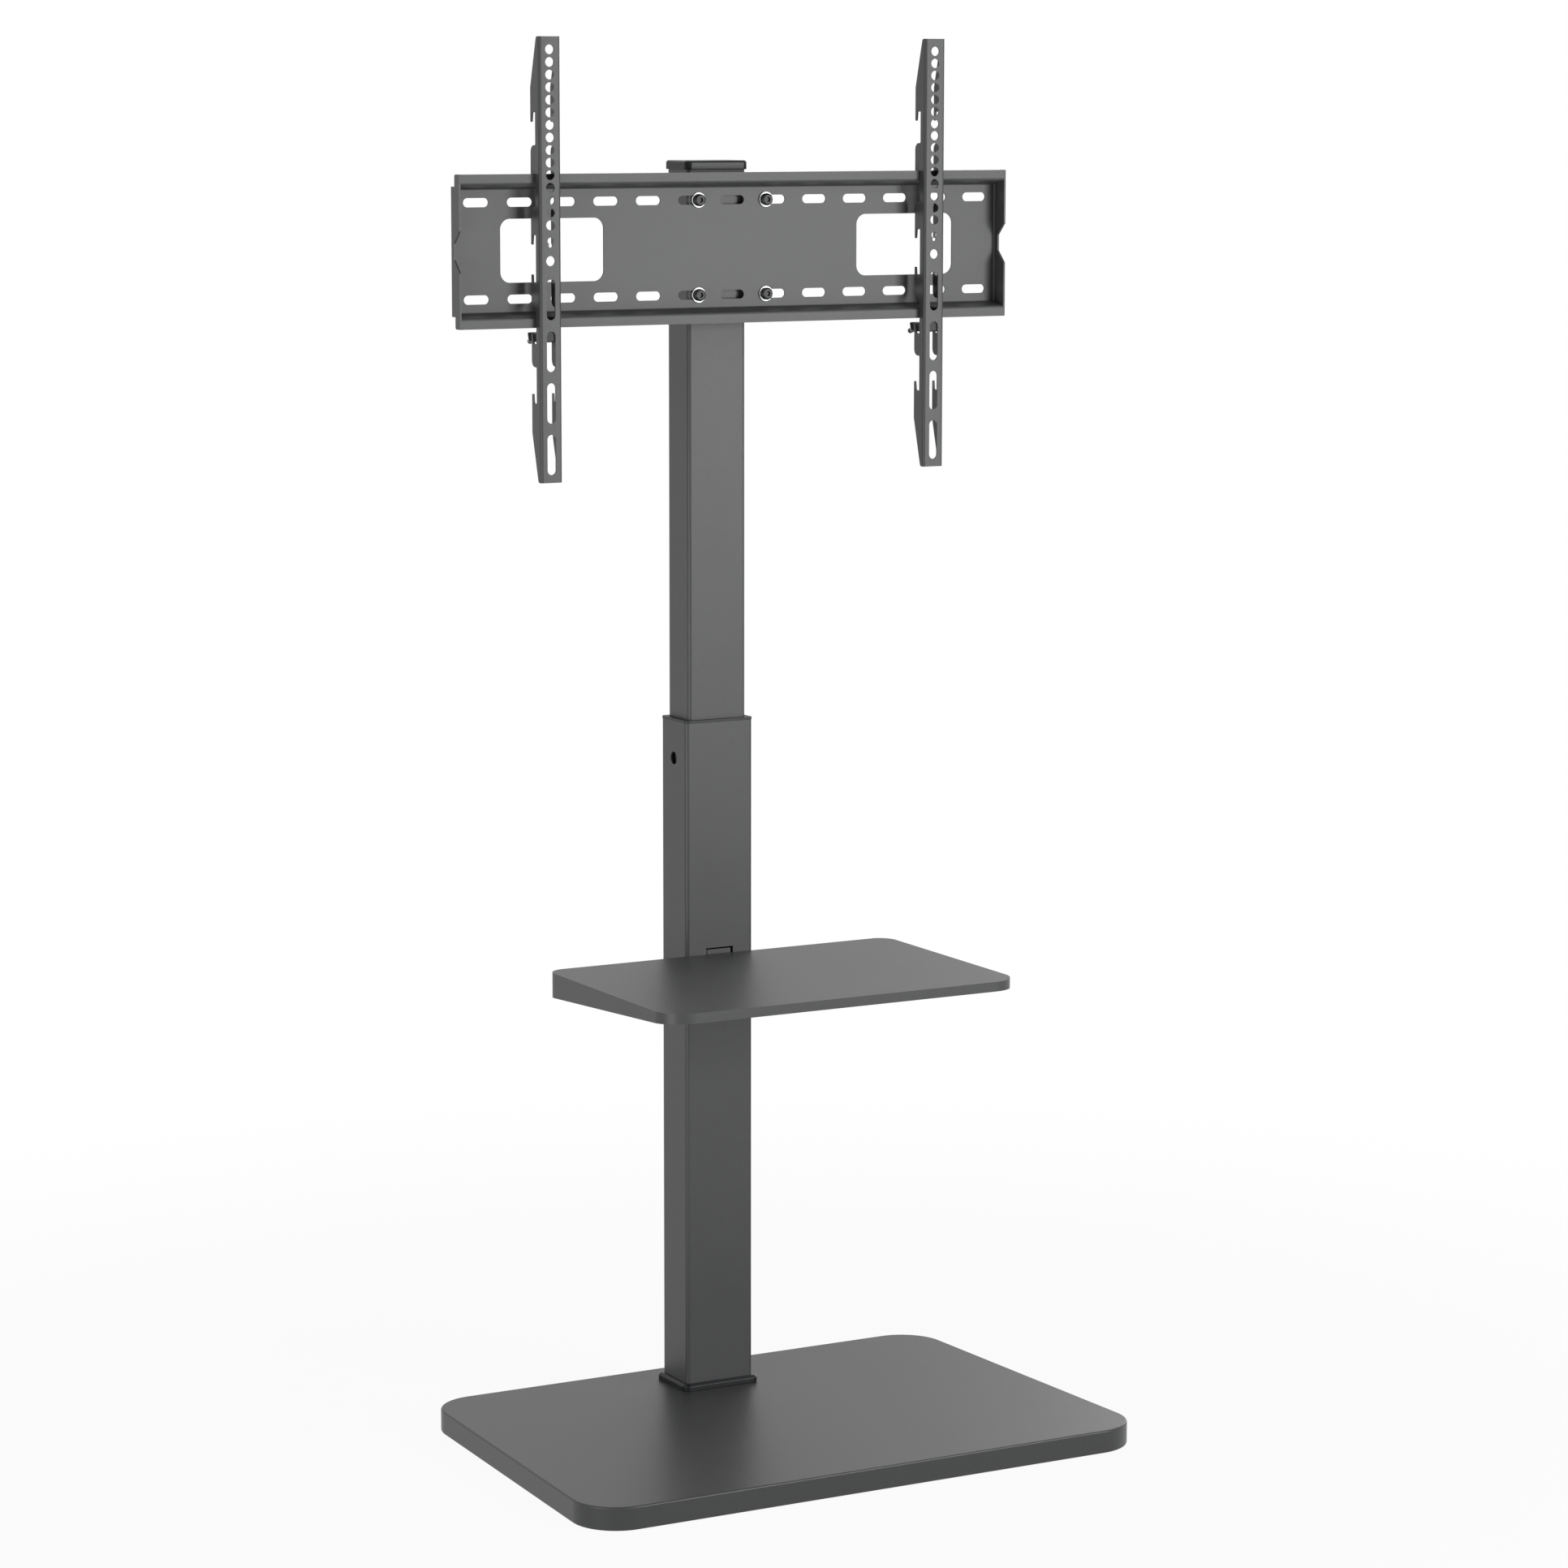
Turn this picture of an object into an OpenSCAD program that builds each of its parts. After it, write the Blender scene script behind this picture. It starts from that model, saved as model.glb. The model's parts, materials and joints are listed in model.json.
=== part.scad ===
// Floor stand for a flat screen: a heavy base board, a telescopic column with a
// small shelf, and a pressed mount plate that two hooked arms hang on.
// Millimetres. X runs along the mount plate, -Y is the front, Z is up.
// The origin is on the floor, under the middle of the base board.

/* [Base] */
// Width of the base board along its front edge
base_front_w = 667; // [560:1:760]
// Width of the base board along its back edge
base_back_w = 620; // [520:1:760]
// Depth of the base board
base_d = 450; // [380:1:560]
// Thickness of the base board
base_t = 25; // [18:0.5:35]
// Corner radius of the base board
base_corner_r = 50; // [30:1:80]
// Bevel along the edges of the base board
base_edge = 1.6; // [0.6:0.1:3]
// Height of the rubber pads under the board
pad_t = 1.5; // [1:0.5:3]
// Diameter of the rubber pads
pad_dia = 34; // [20:1:50]
// Distance from the board's edges to the pad centres
pad_inset = 48; // [35:1:70]
// Width of the steel plate under the board
underplate_w = 190; // [140:1:240]
// Depth of the steel plate under the board
underplate_d = 96; // [80:1:110]
// Thickness of the steel plate under the board
underplate_t = 2.5; // [2:0.5:4]
// Depth of the pocket that the steel plate and the bolt heads lie in
underplate_pocket = 7.8; // [7.5:0.1:10]
// Spacing of the base bolts, side to side
base_bolt_gap_x = 48; // [40:1:56]
// Spacing of the base bolts, front to back
base_bolt_gap_y = 22; // [18:1:26]
// Height of the plastic collar round the column's foot
foot_collar_h = 8; // [5:0.5:14]
// How far the foot collar stands out from the column
foot_collar_over = 5.5; // [3:0.5:9]
// Bevel on the foot collar's top edge
foot_collar_bevel = 2.6; // [1:0.1:4]

/* [Lower column] */
// Width of the lower column tube
outer_w = 82; // [76:1:96]
// Depth of the lower column tube
outer_d = 58; // [54:1:64]
// Wall of the lower column tube
outer_wall = 2; // [1.5:0.1:2.4]
// Corner radius of the lower column tube
outer_r = 4.5; // [3:0.1:6]
// Length of the lower column tube
outer_len = 743; // [680:1:820]
// Distance from the board's back edge to the column's axis
column_inset = 69; // [62:1:110]
// Thickness of the steel plate welded into the column's foot
foot_plate_t = 6; // [5:0.5:10]
// Diameter of the cross hole in the lower column's sides
side_hole_dia = 14; // [10:0.5:16]
// Distance from the column's top rim down to its cross hole
side_hole_drop = 43.5; // [40:0.5:60]
// Height of the bushing's visible rim on top of the lower column
rim_h = 3; // [2:0.5:6]
// How far the rim stands out from the lower column
rim_over = 0.4; // [0.3:0.1:2]
// Length of the bushing inside the lower column
bushing_len = 30; // [20:1:32]
// Distance from the top rim down to the clamp screw
clamp_drop = 72; // [60:1:90]
// How far the clamp screw's shank stands out of its nut
clamp_reach = 6; // [3:0.5:12]

/* [Upper column] */
// Width of the upper column tube
inner_w = 70; // [66:1:72]
// Depth of the upper column tube
inner_d = 48; // [42:1:50]
// Wall of the upper column tube
inner_wall = 2; // [1.5:0.1:2.1]
// Corner radius of the upper column tube
inner_r = 4.2; // [3:0.1:5]
// Length of the upper column tube that shows above the rim
inner_show = 596; // [540:1:700]
// Length of the upper column tube inside the lower one
inner_insert = 130; // [110:1:140]
// Diameter of the cross hole in the upper column
pin_hole_dia = 12; // [8:0.5:13]
// Distance of the upper column's cross hole below the lower column's one
pin_offset = 7; // [0:0.5:10]
// Height of the plastic cap on top of the column
cap_h = 9.5; // [6:0.5:16]
// How far the cap stands out from the upper column
cap_over = 2.5; // [1:0.1:4]
// Bevel on the cap's top edge
cap_bevel = 1.8; // [0.8:0.1:3]
// Depth that the cap and the lower glide reach into the tube
plug_len = 14; // [8:1:24]
// Height of the plastic glide at the lower end of the upper column
glide_h = 26; // [16:1:36]

/* [Shelf] */
// Width of the shelf
shelf_w = 422; // [340:1:480]
// Depth of the shelf
shelf_d = 285; // [220:1:330]
// Height of the shelf's top above the floor
shelf_z = 514; // [420:1:540]
// Sheet thickness of the shelf
shelf_t = 1.5; // [1.2:0.1:2]
// Height of the shelf's skirt at the column
shelf_back_h = 28; // [24:1:40]
// Height of the shelf's skirt at the front
shelf_front_h = 10.5; // [8:0.5:20]
// Radius of the shelf's front corners
shelf_front_r = 32; // [20:1:45]
// Radius of the shelf's back corners
shelf_back_r = 20; // [12:1:35]
// Width of the hook tongue at the back of the shelf
tongue_w = 29; // [20:1:40]
// Height that the hook tongue rises behind the column's wall
tongue_rise = 5; // [4:0.5:8]
// Clearance round the hook tongue in its slot
tongue_gap = 2; // [1:0.1:3]
// Spacing of the two shelf screws
shelf_screw_gap = 46; // [30:1:52]
// Distance of the shelf screws below the shelf's top
shelf_screw_drop = 16; // [14:0.5:18]
// Diameter of the shelf screws
shelf_screw_dia = 5; // [4:0.5:6]
// Diameter of the shelf screws' heads
shelf_screw_head = 9; // [8:0.5:10]
// Diameter of the threaded inserts in the column
insert_dia = 8; // [7.5:0.5:10]
// Length of the threaded inserts
insert_len = 12; // [8:1:16]

/* [Mount plate] */
// Width of the mount plate
plate_w = 657; // [560:1:720]
// Height of the mount plate over its lips
plate_h = 158.6; // [154:0.2:170]
// Height of the mount plate's flat web
web_h = 129.5; // [124:0.5:130]
// How far the sloped flanges rise between the web and the lips
flange_rise = 4; // [2:0.1:4.4]
// Depth from the web's front face to the lips' front face
plate_depth = 20; // [16:0.5:26]
// Sheet thickness of the mount plate
plate_t = 2; // [1.5:0.1:2.5]
// Distance from the upper column's top down to the mount plate's middle
plate_drop = 86; // [66:0.5:120]
// Number of slots in each row
slot_count = 13; // [9:2:13]
// Length of each slot
slot_len = 29; // [28:0.5:32]
// Height of each slot
slot_h = 9.5; // [9:0.1:11]
// Distance between the two rows of slots
slot_row_gap = 100; // [96:1:102]
// Height of the two windows in the mount plate
window_h = 66; // [50:1:76]
// Corner radius of the windows
window_r = 11; // [6:0.5:16]
// Distance from the column's axis to the web's front face
plate_standoff = 58; // [54:1:68]

/* [Head bracket] */
// Sheet thickness of the head bracket
bracket_t = 3; // [2:0.5:4]
// Height of the head bracket
bracket_h = 126; // [116:1:130]
// Outer width over the head bracket's legs
bracket_w = 56; // [46:1:58]
// Distance from the bracket's ears back to its crown
bracket_rise = 6; // [5.6:0.2:9]
// Outer width of the welded box behind the bracket's crown
spacer_w = 40; // [32:1:46]
// Height of the welded box behind the bracket's crown
spacer_h = 100; // [80:1:110]
// Diameter of the plate bolts and of the base bolts
bolt_dia = 8; // [6:0.5:8.5]
// Diameter of the round bolt heads
bolt_head_dia = 13; // [12:0.1:15]
// Height of the round bolt heads
bolt_head_h = 4.4; // [4:0.1:5]
// Width across the flats of the hexagon socket
bolt_socket = 5; // [4:0.5:6]
// Diameter of the washers
washer_dia = 16; // [15:0.5:18]
// Thickness of the washers
washer_t = 1.6; // [1:0.1:2]
// Width across the flats of the nuts
nut_af = 13; // [11:0.5:14]
// Height of the nuts
nut_h = 6.5; // [5:0.5:8]

/* [Arms] */
// Length of each arm
arm_len = 460; // [420:1:520]
// Width of each arm
arm_w = 25; // [24:0.5:30]
// Depth of each arm at its hooks
arm_d = 20.7; // [19:0.1:22]
// Depth of each arm between its hooks
arm_neck = 9.6; // [8:0.1:9.8]
// Depth of each arm at its two ends
arm_end_d = 6.6; // [5.5:0.1:8]
// Sheet thickness of the arms
arm_t = 2; // [1.5:0.1:2.5]
// Distance from the lips' front face to the arms' front face
arm_proud = 10; // [9.9:0.1:11]
// Radius of the round shoulder where a hook's body begins
hook_round = 7; // [4:0.5:8]
// Thickness of the prong at its root
prong_t = 3.4; // [3:0.1:5]
// Thickness of the prong at its tip
prong_tip = 2.2; // [2:0.1:3]
// Diameter of the round screw holes in the arms
arm_hole_dia = 10; // [6:0.1:10.4]
// Number of round screw holes in each arm
arm_hole_count = 15; // [8:1:15]
// Diameter of the middle hole of each arm
arm_mid_dia = 10.4; // [8:0.1:12]
// Diameter of the key hole's wide end
key_dia = 7; // [6:0.1:8]
// Diameter of the key hole's narrow end
key_slot_dia = 4.5; // [3.5:0.1:5]
// Drop from the key hole's wide end to its narrow end
key_drop = 4.7; // [4:0.1:5.5]
// Width of each screw slot in the arms
arm_slot_w = 10; // [6:0.1:10.5]
// Number of screw slots in each arm
arm_slot_count = 4; // [2:1:4]
// Height of the lock block in each arm
lock_h = 9.7; // [9:0.1:12]
// Height of the nose on the front of the lock block
lock_nose = 3.5; // [2:0.1:4]
// Depth of the lock block
lock_d = 28; // [24:0.5:29]
// Distance from the plate's lower lip down to the lock block
lock_gap = 5.2; // [4.8:0.1:7]
// Thickness of the lock plate
lock_plate_t = 1.2; // [1:0.1:2]
// Width of the lock plate
lock_plate_w = 25; // [20:0.5:26]
// Slant of the lock block's back face, in degrees
lock_slant = 15; // [8:1:20]
// Diameter of the lock screw's thread
lock_screw_dia = 4; // [3:0.5:4.5]
// Length of the lock screw's thread in the block
lock_reach = 8; // [6:0.5:8.5]
// Diameter of the lock screw's long round head
lock_head_dia = 5.6; // [5.4:0.1:8]
// Length of the lock screw's head
lock_head_len = 23; // [12:1:26]

/* [Hidden] */
$fn = 48;

// Colours of the finishes
COATED = [0.155, 0.160, 0.165];
COATED_DARK = [0.110, 0.114, 0.118];
BOARD = [0.130, 0.134, 0.138];
MOULDED = [0.060, 0.062, 0.065];
RUBBER = [0.050, 0.050, 0.052];
BLACKED = [0.080, 0.082, 0.085];
ZINC = [0.62, 0.63, 0.64];

// Overrun that carries a cut past a face
over = 1;
// Clearance of a bolt in a plain hole
bolt_gap = 0.5;
// Clearance of a thread in its nut, and of a screw that turns in its hole
thread_gap = 0.05;
// Clearance of a fixed plastic piece in a tube
seat_gap = 0.1;
// Clearance of the telescope's glides
glide_gap = 0.3;
// Clearance of a lock block between the arm's flanges
slide_gap = 0.15;
// Radius of the bends in the pressed sheets, at the middle of the sheet
bend_r = 2.6;
// Radius of small outer corners on pressed sheets
nick_r = 1.2;
// Segments of a small round and of a large round
FINE = 4;
ROUND = 20;
// Shares of the mount plate's height and depth that shape its end flanges
notch_wide_share = 0.136;
notch_narrow_share = 0.054;
notch_depth_share = 0.65;
end_step_share = 0.55;
// Shares of the mount plate's width that place its slots, windows and bolts and the arms
slot_pitch_share = 0.0761;
window_w_share = 0.1826;
window_place_share = 0.3234;
bolt_place_share = 0.0617;
left_arm_share = 0.3486;
right_arm_share = 0.3537;
// Shares of an arm's length that place its upper hooks, measured from its top
hook_first_share = 0.1685;
hook_pitch_share = 0.137;
hook_body_share = 0.0641;
// Shares of an arm's length that place its lower hooks, measured from its bottom
low_first_share = 0.1789;
low_pitch_share = 0.1346;
low_body_share = 0.0526;
// Shares of an arm's length that shape all its hooks
prong_len_share = 0.0213;
arm_taper_share = 0.113;
// Shares of an arm's length that place its holes and slots, measured from its top
hole_first_share = 0.0289;
hole_pitch_share = 0.02793;
key_hole_share = 0.455;
slot_first_share = 0.587;
slot_step_share = 0.1165;
slot_len_share = 0.0913;

// Levels and depths that several pieces share
board_z = pad_t;
board_top = board_z + base_t;
column_y = base_d / 2 - column_inset;
column_top = board_top + outer_len;
rim_top = column_top + rim_h;
cavity_w = outer_w - 2 * outer_wall;
cavity_d = outer_d - 2 * outer_wall;
cavity_r = outer_r - outer_wall;
side_hole_z = rim_top - side_hole_drop;
clamp_z = rim_top - clamp_drop;
mast_top = rim_top + inner_show;
mast_bottom = rim_top - inner_insert;
column_front = column_y - outer_d / 2;
plate_z = mast_top - plate_drop;
web_front = column_y - plate_standoff;
web_back = web_front + plate_t;
lip_front = web_front - plate_depth;
lip_top = plate_z + plate_h / 2;
lip_bottom = plate_z - plate_h / 2;
arm_front = lip_front - arm_proud;
slot_pitch = plate_w * slot_pitch_share;
window_w = plate_w * window_w_share;
window_x = plate_w * window_place_share;
plate_bolt_x = plate_w * bolt_place_share;
bracket_ear_w = 2 * plate_bolt_x + washer_dia;
left_arm_x = plate_w * left_arm_share;
right_arm_x = plate_w * right_arm_share;
hook_first = arm_len * hook_first_share;
hook_pitch = arm_len * hook_pitch_share;
prong_len = arm_len * prong_len_share;
arm_taper = arm_len * arm_taper_share;
hook_notch = hook_first + hook_pitch;
arm_top = lip_top + hook_notch;
lock_top = lip_bottom - lock_gap;
bracket_back = column_y - inner_d / 2;
slot_row = slot_row_gap / 2;
underplate_z = board_z + underplate_pocket - underplate_t;
shelf_back = column_front;
shelf_front = shelf_back - shelf_d;

// Flat shapes

// Unit vector along v
function unit(v) = v / norm(v);

// The turn from angle a to angle b, the short way round
function short_turn(a, b) = let (d = b - a) d > 180 ? d - 360 : d < -180 ? d + 360 : d;

// Arc of radius r that rounds the corner b between a and c
function corner_arc(a, b, c, r, n) =
    let (u = unit(a - b), v = unit(c - b))
    let (half = acos(u * v) / 2, centre = b + unit(u + v) * r / sin(half))
    let (p = b + u * r / tan(half) - centre, q = b + v * r / tan(half) - centre)
    let (start = atan2(p[1], p[0]), turn = short_turn(start, atan2(q[1], q[0])))
    [for (i = [0 : n]) centre + r * [cos(start + turn * i / n), sin(start + turn * i / n)]];

// Closed outline whose corners have the given radii, where zero keeps a corner sharp
function rounded(points, radii, n = FINE) =
    let (last = len(points) - 1)
    [for (i = [0 : last]) each radii[i] > 0
        ? corner_arc(points[i == 0 ? last : i - 1], points[i],
                     points[i == last ? 0 : i + 1], radii[i], n)
        : [points[i]]];

// Left normal of the step from a to b
function left_of(a, b) = let (u = unit(b - a)) [-u[1], u[0]];

// Open path moved sideways by d, with its inner corners rounded about radius r
function side_path(path, d, r) =
    let (last = len(path) - 1, n = [for (i = [0 : last - 1]) left_of(path[i], path[i + 1])])
    let (moved = [for (i = [0 : last])
        i == 0 ? path[0] + d * n[0]
        : i == last ? path[last] + d * n[last - 1]
        : path[i] + d * (n[i - 1] + n[i]) / (1 + n[i - 1] * n[i])])
    [for (i = [0 : last]) each i == 0 || i == last
        ? [moved[i]]
        : corner_arc(moved[i - 1], moved[i], moved[i + 1],
                     r - d * sign(cross(n[i - 1], n[i])), FINE)];

// Outline of a bent sheet of thickness t along the path of its middle
function sheet_outline(path, t, r) =
    let (a = side_path(path, t / 2, r), b = side_path(path, -t / 2, r))
    concat(a, [for (i = [len(b) - 1 : -1 : 0]) b[i]]);

// Rectangle with round corners, centred
module round_rect(w, d, r) {
    square([w - 2 * r, d], center = true);
    square([w, d - 2 * r], center = true);
    for (x = [-1, 1], y = [-1, 1]) translate([x * (w / 2 - r), y * (d / 2 - r)]) circle(r);
}

// Slot with round ends, lying along X, centred
module slot_shape(length, height) {
    square([length - height, height], center = true);
    for (x = [-1, 1]) translate([x * (length - height) / 2, 0]) circle(d = height);
}

// Outline of the base board, drawn inwards by the given inset
module base_outline(inset = 0) {
    f = base_front_w / 2 - inset;
    b = base_back_w / 2 - inset;
    y = base_d / 2 - inset;
    r = base_corner_r - inset;
    polygon(rounded([[-f, -y], [f, -y], [b, y], [-b, y]], [r, r, r, r], ROUND));
}

// Outline of the shelf, drawn inwards by the given inset
module shelf_outline(inset = 0) {
    w = shelf_w / 2 - inset;
    f = shelf_front_r - inset;
    b = shelf_back_r - inset;
    polygon(rounded([[-w, shelf_front + inset], [w, shelf_front + inset],
                     [w, shelf_back - inset], [-w, shelf_back - inset]], [f, f, b, b], ROUND));
}

// Straight lengths

// Puts an outline drawn in depth and height across X, centred on X
module across_x(w) {
    translate([-w / 2, 0, 0]) rotate([90, 0, 90]) linear_extrude(w) children();
}

// Puts an outline drawn in X and height along +Y, starting at y
module along_y(y, length) {
    translate([0, y + length, 0]) rotate([90, 0, 0]) linear_extrude(length) children();
}

// A square tube wall from one height to another, centred on the column
module tube(w, d, r, wall, low, high) {
    translate([0, column_y, low]) linear_extrude(high - low) difference() {
        round_rect(w, d, r);
        round_rect(w - 2 * wall, d - 2 * wall, r - wall);
    }
}

// A solid with the column's outline, from one height to another
module plug(w, d, r, low, high) {
    translate([0, column_y, low]) linear_extrude(high - low) round_rect(w, d, r);
}

// Fasteners

// Round head and shank along +Z, with its hexagon socket in the head, which lies below zero
module socket_bolt(dia, length, head_dia, head_h, socket) {
    crown = head_h / 3;
    difference() {
        union() {
            cylinder(d = dia, h = length);
            translate([0, 0, -(head_h - crown)]) cylinder(d = head_dia, h = head_h - crown);
            translate([0, 0, -head_h])
                cylinder(d1 = head_dia - 2 * crown, d2 = head_dia, h = crown);
        }
        translate([0, 0, -head_h - over])
            cylinder(d = socket / cos(30), h = over + head_h / 2, $fn = 6);
    }
}

// Hexagon nut along +Z
module hex_nut(af, h, bore) {
    difference() {
        cylinder(d = af / cos(30), h = h, $fn = 6);
        translate([0, 0, -over]) cylinder(d = bore, h = h + 2 * over);
    }
}

// Puts its children at the four plate bolts, at depth y, pointing to +Y
module at_plate_bolts(y) {
    for (x = [-1, 1], z = [-1, 1])
        translate([x * plate_bolt_x, y, plate_z + z * slot_row])
            rotate([-90, 0, 0]) children();
}

// Puts its children at the four base bolts, at height z
module at_base_bolts(z) {
    for (x = [-1, 1], y = [-1, 1])
        translate([x * base_bolt_gap_x / 2, column_y + y * base_bolt_gap_y / 2, z]) children();
}

// Puts its children at the two shelf screws, at depth y, pointing to +Y
module at_shelf_screws(y) {
    for (x = [-1, 1])
        translate([x * shelf_screw_gap / 2, y, shelf_z - shelf_screw_drop])
            rotate([-90, 0, 0]) children();
}

// Base

module base_board() {
    color(BOARD) difference() {
        hull() {
            translate([0, 0, board_z]) linear_extrude(base_t) base_outline(base_edge);
            translate([0, 0, board_z + base_edge / 3])
                linear_extrude(base_t - 2 * base_edge / 3) base_outline(base_edge / 3);
            translate([0, 0, board_z + base_edge])
                linear_extrude(base_t - 2 * base_edge) base_outline();
        }
        translate([0, column_y, board_z - over])
            linear_extrude(underplate_pocket + over)
                round_rect(underplate_w + 2 * seat_gap, underplate_d + 2 * seat_gap,
                           underplate_d / 8);
        at_base_bolts(board_z) cylinder(d = bolt_dia + 2 * bolt_gap, h = base_t + over);
    }
}

module base_pads() {
    x_back = base_back_w / 2 - pad_inset;
    x_front = base_front_w / 2 - pad_inset;
    y = base_d / 2 - pad_inset;
    color(RUBBER) {
        for (side = [-1, 1]) {
            translate([side * x_back, y, 0]) cylinder(d = pad_dia, h = pad_t);
            translate([side * x_front, -y, 0]) cylinder(d = pad_dia, h = pad_t);
        }
        translate([0, -y, 0]) cylinder(d = pad_dia, h = pad_t);
    }
}

module base_underplate() {
    color(COATED_DARK) difference() {
        translate([0, column_y, underplate_z]) linear_extrude(underplate_t)
            round_rect(underplate_w, underplate_d, underplate_d / 8);
        at_base_bolts(underplate_z - over)
            cylinder(d = bolt_dia + 2 * bolt_gap, h = underplate_t + 2 * over);
    }
}

module base_bolts() {
    color(BLACKED) at_base_bolts(underplate_z)
        socket_bolt(bolt_dia, board_top + foot_plate_t - underplate_z,
                    bolt_head_dia, bolt_head_h, bolt_socket);
}

module foot_plate() {
    color(COATED_DARK) difference() {
        plug(cavity_w, cavity_d, cavity_r, board_top, board_top + foot_plate_t);
        at_base_bolts(board_top - over)
            cylinder(d = bolt_dia + 2 * thread_gap, h = foot_plate_t + 2 * over);
    }
}

module foot_collar() {
    w = outer_w + 2 * foot_collar_over;
    d = outer_d + 2 * foot_collar_over;
    r = outer_r + foot_collar_over / 2;
    bevel = foot_collar_bevel;
    color(MOULDED) difference() {
        hull() {
            plug(w, d, r, board_top, board_top + foot_collar_h - bevel);
            plug(w - 2 * bevel, d - 2 * bevel, r - bevel, board_top, board_top + foot_collar_h);
        }
        plug(outer_w + 2 * seat_gap, outer_d + 2 * seat_gap, outer_r + seat_gap,
             board_top - over, board_top + foot_collar_h + over);
    }
}

// Lower column

module lower_column() {
    slot_top = shelf_z + tongue_rise + tongue_gap;
    slot_low = shelf_z - shelf_t;
    color(COATED) difference() {
        tube(outer_w, outer_d, outer_r, outer_wall, board_top, column_top);
        translate([-outer_w / 2 - over, column_y, side_hole_z]) rotate([0, 90, 0])
            cylinder(d = side_hole_dia, h = outer_w + 2 * over);
        translate([0, column_y, clamp_z]) rotate([-90, 0, 0])
            cylinder(d = bolt_dia + 2 * bolt_gap, h = outer_d / 2 + over);
        along_y(column_front - over, outer_wall + 2 * over)
            translate([-tongue_w / 2 - tongue_gap, slot_low])
                square([tongue_w + 2 * tongue_gap, slot_top - slot_low]);
        at_shelf_screws(column_front - over)
            cylinder(d = insert_dia + 2 * seat_gap, h = outer_wall + 2 * over);
    }
}

module column_bushing() {
    color(MOULDED) {
        difference() {
            plug(outer_w + 2 * rim_over, outer_d + 2 * rim_over, outer_r + rim_over,
                 column_top, rim_top);
            plug(inner_w + 2 * glide_gap, inner_d + 2 * glide_gap, inner_r + glide_gap,
                 column_top - over, rim_top + over);
        }
        difference() {
            plug(cavity_w - 2 * seat_gap, cavity_d - 2 * seat_gap, cavity_r - seat_gap,
                 column_top - bushing_len, column_top);
            plug(inner_w + 2 * glide_gap, inner_d + 2 * glide_gap, inner_r + glide_gap,
                 column_top - bushing_len - over, column_top + over);
        }
    }
}

// Weld nut and clamp screw on the back of the lower column

module clamp_nut() {
    color(BLACKED) translate([0, column_y + outer_d / 2, clamp_z]) rotate([-90, 0, 0])
        hex_nut(nut_af, nut_h, bolt_dia + 2 * thread_gap);
}

module clamp_screw() {
    reach = (outer_d - inner_d) / 2 + nut_h + clamp_reach - glide_gap;
    tip_y = column_y + inner_d / 2 + glide_gap;
    color(BLACKED) translate([0, tip_y + reach, clamp_z]) rotate([90, 0, 0])
        socket_bolt(bolt_dia, reach, bolt_head_dia, bolt_dia, bolt_socket);
}

// Shelf

module shelf_panel() {
    skirt = (shelf_back_h - shelf_front_h) / shelf_d;
    screw_z = shelf_z - shelf_screw_drop;
    hook_y = column_front + outer_wall + seat_gap;
    color(COATED) {
        difference() {
            translate([0, 0, shelf_z - shelf_back_h]) linear_extrude(shelf_back_h) shelf_outline();
            translate([0, 0, shelf_z - shelf_back_h - over])
                linear_extrude(shelf_back_h + over - shelf_t) shelf_outline(shelf_t);
            across_x(shelf_w + 2 * over)
                polygon([[shelf_front - over, shelf_z - shelf_back_h - over],
                         [shelf_back, shelf_z - shelf_back_h - over],
                         [shelf_back, shelf_z - shelf_back_h],
                         [shelf_front, shelf_z - shelf_front_h],
                         [shelf_front - over, shelf_z - shelf_front_h + skirt * over]]);
            at_shelf_screws(shelf_back - shelf_t - over)
                cylinder(d = shelf_screw_dia + bolt_gap, h = shelf_t + 2 * over);
        }
        across_x(tongue_w)
            polygon(sheet_outline([[shelf_back - shelf_t, shelf_z - shelf_t / 2],
                                   [hook_y + shelf_t / 2, shelf_z - shelf_t / 2],
                                   [hook_y + shelf_t / 2, shelf_z + tongue_rise]],
                                  shelf_t, shelf_t * 0.55));
    }
}

module shelf_screws() {
    color(BLACKED) at_shelf_screws(shelf_back - shelf_t)
        socket_bolt(shelf_screw_dia, shelf_t + insert_len, shelf_screw_head, shelf_screw_dia / 2,
                    bolt_socket - over);
}

module shelf_inserts() {
    color(ZINC) at_shelf_screws(column_front) difference() {
        union() {
            cylinder(d = insert_dia, h = outer_wall + seat_gap);
            translate([0, 0, outer_wall])
                cylinder(d = insert_dia + 2 * outer_wall, h = insert_len - outer_wall);
        }
        translate([0, 0, -over])
            cylinder(d = shelf_screw_dia + 2 * thread_gap, h = insert_len + 2 * over);
    }
}

// Upper column

module upper_column() {
    color(COATED) difference() {
        tube(inner_w, inner_d, inner_r, inner_wall, mast_bottom, mast_top);
        translate([-inner_w / 2 - over, column_y, side_hole_z - pin_offset])
            rotate([0, 90, 0]) cylinder(d = pin_hole_dia, h = inner_w + 2 * over);
    }
}

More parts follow.
